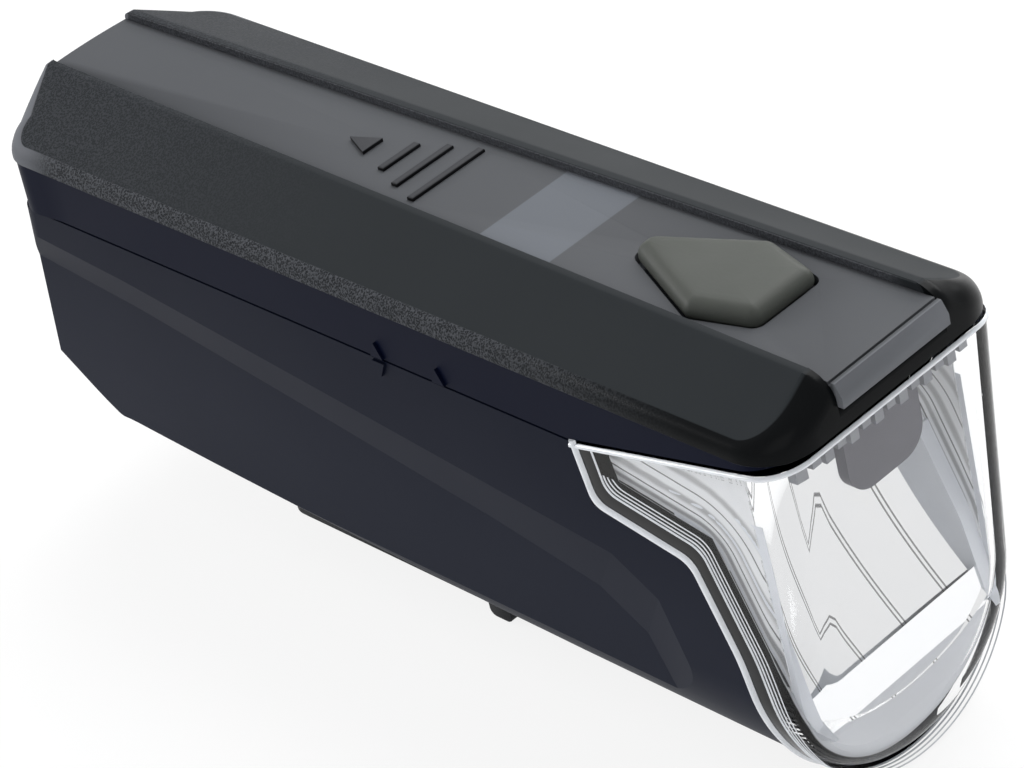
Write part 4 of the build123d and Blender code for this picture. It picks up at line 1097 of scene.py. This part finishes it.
rimForm = {
    # strips: from, to, height of the arch, depth at which they start, or None for the path's own end
    "bead": (0.05, 1.05, 0.42, None), "border": (0.8, 3.0, 0.05, 0.0),
    "lines": ((3.0, 3.3, 0.14, 0.0), (3.55, 3.8, 0.1, 3.0), (4.15, 4.35, 0.08, 3.0), (4.75, 4.95, 0.07, 3.0)),
    "topBead": (0.05, 0.7, 0.3), "lift": 0.01, "archPower": 0.6, "archSteps": 7,
    "path": [(96.95, -0.2), (98.5, 8.0), (112.0, 10.5), (116.3, 21.5), (118.9, 33.1), (120.0, 50.0)],
    "corner": 1.6, "cornerShare": 0.4, "cornerSteps": 7, "startGap": 0.3, "keelGap": 0.2, "keelSteps": 31,
    "underside": (0.7, 0.3), "innerPoint": (110.0, 0.0, 5.0),
}


def offsetPath(amount):
    # the seam line moved forward by the amount, its corners cut by short curves of the second degree
    points = np.array(rimForm["path"])
    runs = np.diff(points, axis=0)
    runs /= np.linalg.norm(runs, axis=1)[:, None]
    normals = np.stack([runs[:, 1], -runs[:, 0]], axis=1)
    bend = 1.0 + (normals[:-1] * normals[1:]).sum(axis=1)
    mitres = (normals[:-1] + normals[1:]) / bend[:, None]
    moved = points + amount * np.concatenate([normals[:1], mitres, normals[-1:]])
    middle = moved[1:-1]
    before = moved[:-2] - middle
    after = moved[2:] - middle
    longBefore = np.linalg.norm(before, axis=1)[:, None]
    longAfter = np.linalg.norm(after, axis=1)[:, None]
    reach = np.minimum(rimForm["corner"], rimForm["cornerShare"] * np.minimum(longBefore, longAfter))
    first = (middle + before / longBefore * reach)[:, None]
    last = (middle + after / longAfter * reach)[:, None]
    t = np.linspace(0.0, 1.0, rimForm["cornerSteps"])[:, None]
    curves = first * (1 - t) ** 2 + middle[:, None] * 2 * t * (1 - t) + last * t ** 2
    return np.concatenate([moved[:1], curves.reshape(-1, 2), moved[-1:]])


def archLoop(low, high, height):
    # across a strip: an arch of sine to a power between the two offsets, and two points of its underside
    r = rimForm
    t = np.linspace(0.0, 1.0, r["archSteps"])
    arch = r["lift"] + height * np.abs(np.sin(math.pi * t)) ** r["archPower"]
    offsets = low + (high - low) * np.append(t, r["underside"])
    return zip(offsets, np.append(arch, (r["lift"] / 2, r["lift"] / 2)))


def seamStrip(low, high, height, start):
    # the arch carried down one side, round the keel and up the other
    r = rimForm
    half = lensForm["half"]
    centre = lensForm["centre"]
    angles = np.radians(np.linspace(0.0, 90.0, r["keelSteps"]))
    first = 0 if start is None else int(np.argmax(offsetPath(low)[:, 1] > start + r["startGap"]))
    columns = []
    for offset, out in archLoop(low, high, height):
        line = offsetPath(offset)
        above = line[first:]
        above = above[above[:, 1] < -centre - r["keelGap"]]
        if start is not None:
            above = np.concatenate([[(np.interp(start, line[:, 1], line[:, 0]), start)], above])
        reach = half + out
        side = join(above[:, 0], -reach, -above[:, 1])
        station = np.interp(-centre + half * np.sin(angles), line[:, 1], line[:, 0])
        keel = join(station, -reach * np.cos(angles), centre - reach * np.sin(angles))
        right = np.concatenate([side, keel])
        columns.append(np.concatenate([right, right[-2::-1] * np.array([1.0, -1.0, 1.0])]))
    return np.array(columns).transpose(1, 0, 2), True, True


def topStrip(low, high, height):
    # the same arch along the top edge: forward on one side, round the front rim, across and back
    surface = lensSurface(0.0)
    edge = np.concatenate([surface[0], surface[-1][-2::-1]])
    along = np.gradient(edge, axis=0)
    along /= np.linalg.norm(along, axis=1)[:, None]
    down = np.array([0.0, 0.0, -1.0]) + along * along[:, 2:3]
    down /= np.linalg.norm(down, axis=1)[:, None]
    out = np.cross(along, down)
    out *= np.sign((out * (edge - np.array(rimForm["innerPoint"]))).sum(axis=1))[:, None]
    columns = [edge + down * drop + out * lift for drop, lift in archLoop(low, high, height)]
    return np.array(columns).transpose(1, 0, 2), True, True


# painted highlight: bright beads and lines where the clear lens edge catches light
beads = [seamStrip(*rimForm["bead"]), topStrip(*rimForm["topBead"])]
innerLines = [seamStrip(*values) for values in rimForm["lines"]]
makePiece("lensPaintedGlintBead", beads, "housing", materials["lensPaintedGlint"])
makePiece("lensBorder", [seamStrip(*rimForm["border"])], "housing", materials["border"])
makePiece("lensInnerPaintedGlint", innerLines, "housing", materials["lensPaintedGlint"])
print("lens rim ready")


# Side fins: thin waved bright plates inside the lens walls

finForm = {
    "depthEnd": 25.0, "front": 121.6, "frontTop": -3.6, "fan": 0.75, "offset": 3.2, "out": 14.98,
    "pitch": 2.7, "wave": 0.1, "uneven": (0.2, 1.7), "calmer": 0.6, "thick": 0.08, "along": 46, "across": 120,
}


def lineDistance(station, depth):
    # the shortest distance to any run of the seam line: to the nearest point between the run's ends
    corners = np.array(rimForm["path"])[1:]
    away = np.full_like(station, np.inf)
    for a, b in zip(corners[:-1], corners[1:]):
        run = b - a
        t = np.clip(((station - a[0]) * run[0] + (depth - a[1]) * run[1]) / (run @ run), 0.0, 1.0)
        away = np.minimum(away, np.hypot(station - a[0] - run[0] * t, depth - a[1] - run[1] * t))
    return away


def finGrids():
    # from the inner border to the front rim; the plate waves with the distance from the seam line
    f = finForm
    line = offsetPath(f["offset"])
    share = np.linspace(0.0, 1.0, f["along"])[:, None]
    length = np.concatenate([[0.0], np.cumsum(np.linalg.norm(np.diff(line, axis=0), axis=1))])
    at = share * np.interp(f["depthEnd"], line[:, 1], length)
    rearStation = np.interp(at, length, line[:, 0])
    rearDepth = np.interp(at, length, line[:, 1])
    frontDepth = f["frontTop"] + (f["depthEnd"] - f["frontTop"]) * share ** f["fan"]
    v = np.linspace(0.0, 1.0, f["across"])
    station = rearStation + (f["front"] - rearStation) * v
    depth = rearDepth + (frontDepth - rearDepth) * v
    away = lineDistance(station, depth)
    drift, pace = f["uneven"]
    turns = away / f["pitch"] + drift * np.sin(away * pace)
    wave = f["wave"] * np.sin(2 * math.pi * turns) * (1.0 - f["calmer"] * v)
    flat = f["out"] - f["wave"] - f["thick"]
    grids = []
    for side in (-1.0, 1.0):
        outer = join(station, side * (f["out"] + wave), -depth)
        grids += plateGrids(outer, join(station, side * flat, -depth))
    # the distances go with both faces of each plate, nothing with its rim
    shares = np.concatenate([away.ravel(), away.ravel(), np.zeros(grids[2][0][:, :, 0].size)])
    return grids, np.tile(shares, 2)


finPieces, finShares = finGrids()
makePiece("sideFins", finPieces, "housing", materials["fin"], shares=finShares)
print("fins ready")


# Mirror coat: a thin bright skin in front of the reflector's hollow

mirrorForm = {
    "vertex": 105.9, "axis": -4.0, "focal": 52.4, "lift": 0.14, "half": 12.85, "top": -2.5, "front": 122.8,
    "keelRadius": 14.9, "thick": 0.06, "rows": 60, "columns": 81,
}


def mirrorStation(offset, height):
    # vertex + lift + (offset squared + height over the axis squared) / focal
    m = mirrorForm
    return m["vertex"] + m["lift"] + (offset ** 2 + (height - m["axis"]) ** 2) / m["focal"]


def mirrorFoot(offset, front):
    # the height at which the mirror's lower half reaches the front station
    m = mirrorForm
    return m["axis"] - np.sqrt((front - m["vertex"]) * m["focal"] - offset ** 2)


def mirrorGrids():
    # columns across, rows from the top down to where the mirror meets its front or the keel
    m = mirrorForm
    y = np.linspace(-m["half"], m["half"], m["columns"])
    keel = lensForm["centre"] - np.sqrt(m["keelRadius"] ** 2 - y ** 2)
    lowest = np.maximum(mirrorFoot(y, m["front"]), keel)
    z = m["top"] + (lowest - m["top"]) * np.linspace(0.0, 1.0, m["rows"])[:, None]
    outer = join(mirrorStation(y, z), y, z)
    return plateGrids(outer, outer - np.array([m["thick"], 0.0, 0.0]))


# Mirror cheeks: bright walls from the mirror's edge to the lens wall

cheekForm = {
    "top": 2.6, "below": (0.5, 6.5), "steps": (24, 8), "line": 4.25, "least": 0.1, "step": 0.2, "rim": 13.05,
    "frontGap": 0.4, "thick": 0.05,
}


def cheekGrids():
    # from the mirror's edge forward to the opening, then outwards to the lens wall and forward along it
    c = cheekForm
    m = mirrorForm
    keelDepth = -lensForm["centre"]
    low = keelDepth + np.linspace(*c["below"], c["steps"][1])
    depth = np.concatenate([np.linspace(c["top"], keelDepth, c["steps"][0]), low])
    edge = mirrorStation(m["half"], -depth)
    rim = np.maximum(seamStation(depth) + c["line"], edge + c["least"])
    reach = np.sqrt(m["keelRadius"] ** 2 - np.maximum(depth - keelDepth, 0.0) ** 2)
    path = [(edge, m["half"]), (rim, c["rim"]), (rim + c["step"], reach), (m["front"] - c["frontGap"], reach)]
    grids = []
    for side in (-1.0, 1.0):
        outer = np.array([join(station, side * offset, -depth) for station, offset in path])
        grids += plateGrids(outer, outer + np.array([0.0, side * c["thick"], 0.0]))
    return grids


makePiece("mirrorCheeks", cheekGrids(), "housing", materials["cheek"], sharp=30.0)
makePiece("mirrorCoat", mirrorGrids(), "housing", materials["mirrorStrips"], sharp=30.0)
print("mirror ready")


# Apron: flat facets from the mirror's lower edge out to the lens wall and a short way back along it

apronForm = {
    "first": 24.0, "last": 156.0, "facets": 11, "outer": 15.0, "reach": 119.9, "thick": 0.12, "zigzag": 0.55,
    "inset": 0.97, "gap": 0.3, "front": 0.1, "middleBack": 0.6, "rimBack": 0.9, "rimShare": 0.985,
}


def apronGrids():
    # rows run outwards; every other facet's middle is set back so that the light breaks from one to the next
    a = apronForm
    m = mirrorForm
    angles = np.radians(np.linspace(a["first"], a["last"], a["facets"] * 2 + 1))
    cosine = np.cos(angles)
    sine = np.sin(angles)
    front = m["front"] - a["front"]
    outerY = -a["outer"] * cosine
    outerZ = lensForm["centre"] - a["outer"] * sine
    innerY = np.clip(outerY, -m["half"], m["half"]) * a["inset"]
    innerZ = np.maximum(mirrorFoot(innerY, front), outerZ + a["gap"])
    rimZ = lensForm["centre"] - a["outer"] * a["rimShare"] * sine
    dent = np.where(np.arange(len(angles)) % 2 == 1, a["zigzag"], 0.0)
    rows = (
        (front, innerY, innerZ),
        (front - a["middleBack"] - dent, (innerY + outerY) / 2, (innerZ + outerZ) / 2),
        (front - a["rimBack"], outerY * a["rimShare"], rimZ),
        (a["reach"], outerY, outerZ),
    )
    outer = np.array([join(*row) for row in rows])
    inner = outer - np.array([a["thick"], 0.0, 0.0])
    inner[-1] = outer[-1] + a["thick"] * join(0.0, cosine, sine)
    return plateGrids(outer, inner)


makePiece("mirrorApron", apronGrids(), "housing", materials["apron"], sharp=12.0)
print("apron ready")


# Light teeth: a row of small grey blocks on the hood's front edge, seen through the lens top

toothForm = {
    "station": 125.9, "deep": 0.95, "half": 13.4, "count": 14, "share": 0.66, "foot": 2.9, "shorter": 0.6,
    "top": 5.5,
}


def toothGrids():
    # blocks side by side: each as wide as its share of the pitch, alternately longer and shorter
    f = toothForm
    pitch = 2.0 * f["half"] / f["count"]
    grids = []
    for k in range(f["count"]):
        middle = -f["half"] + pitch * (k + 0.5)
        low = f["foot"] + f["shorter"] * (k % 2)
        span = (middle - pitch * f["share"] / 2, middle + pitch * f["share"] / 2)
        grids.append(boxGrid((f["station"] - f["deep"], f["station"]), span, (low, f["top"])))
    return grids


makePiece("lightTeeth", toothGrids(), "housing", materials["tooth"], sharp=30.0)
print("teeth ready")
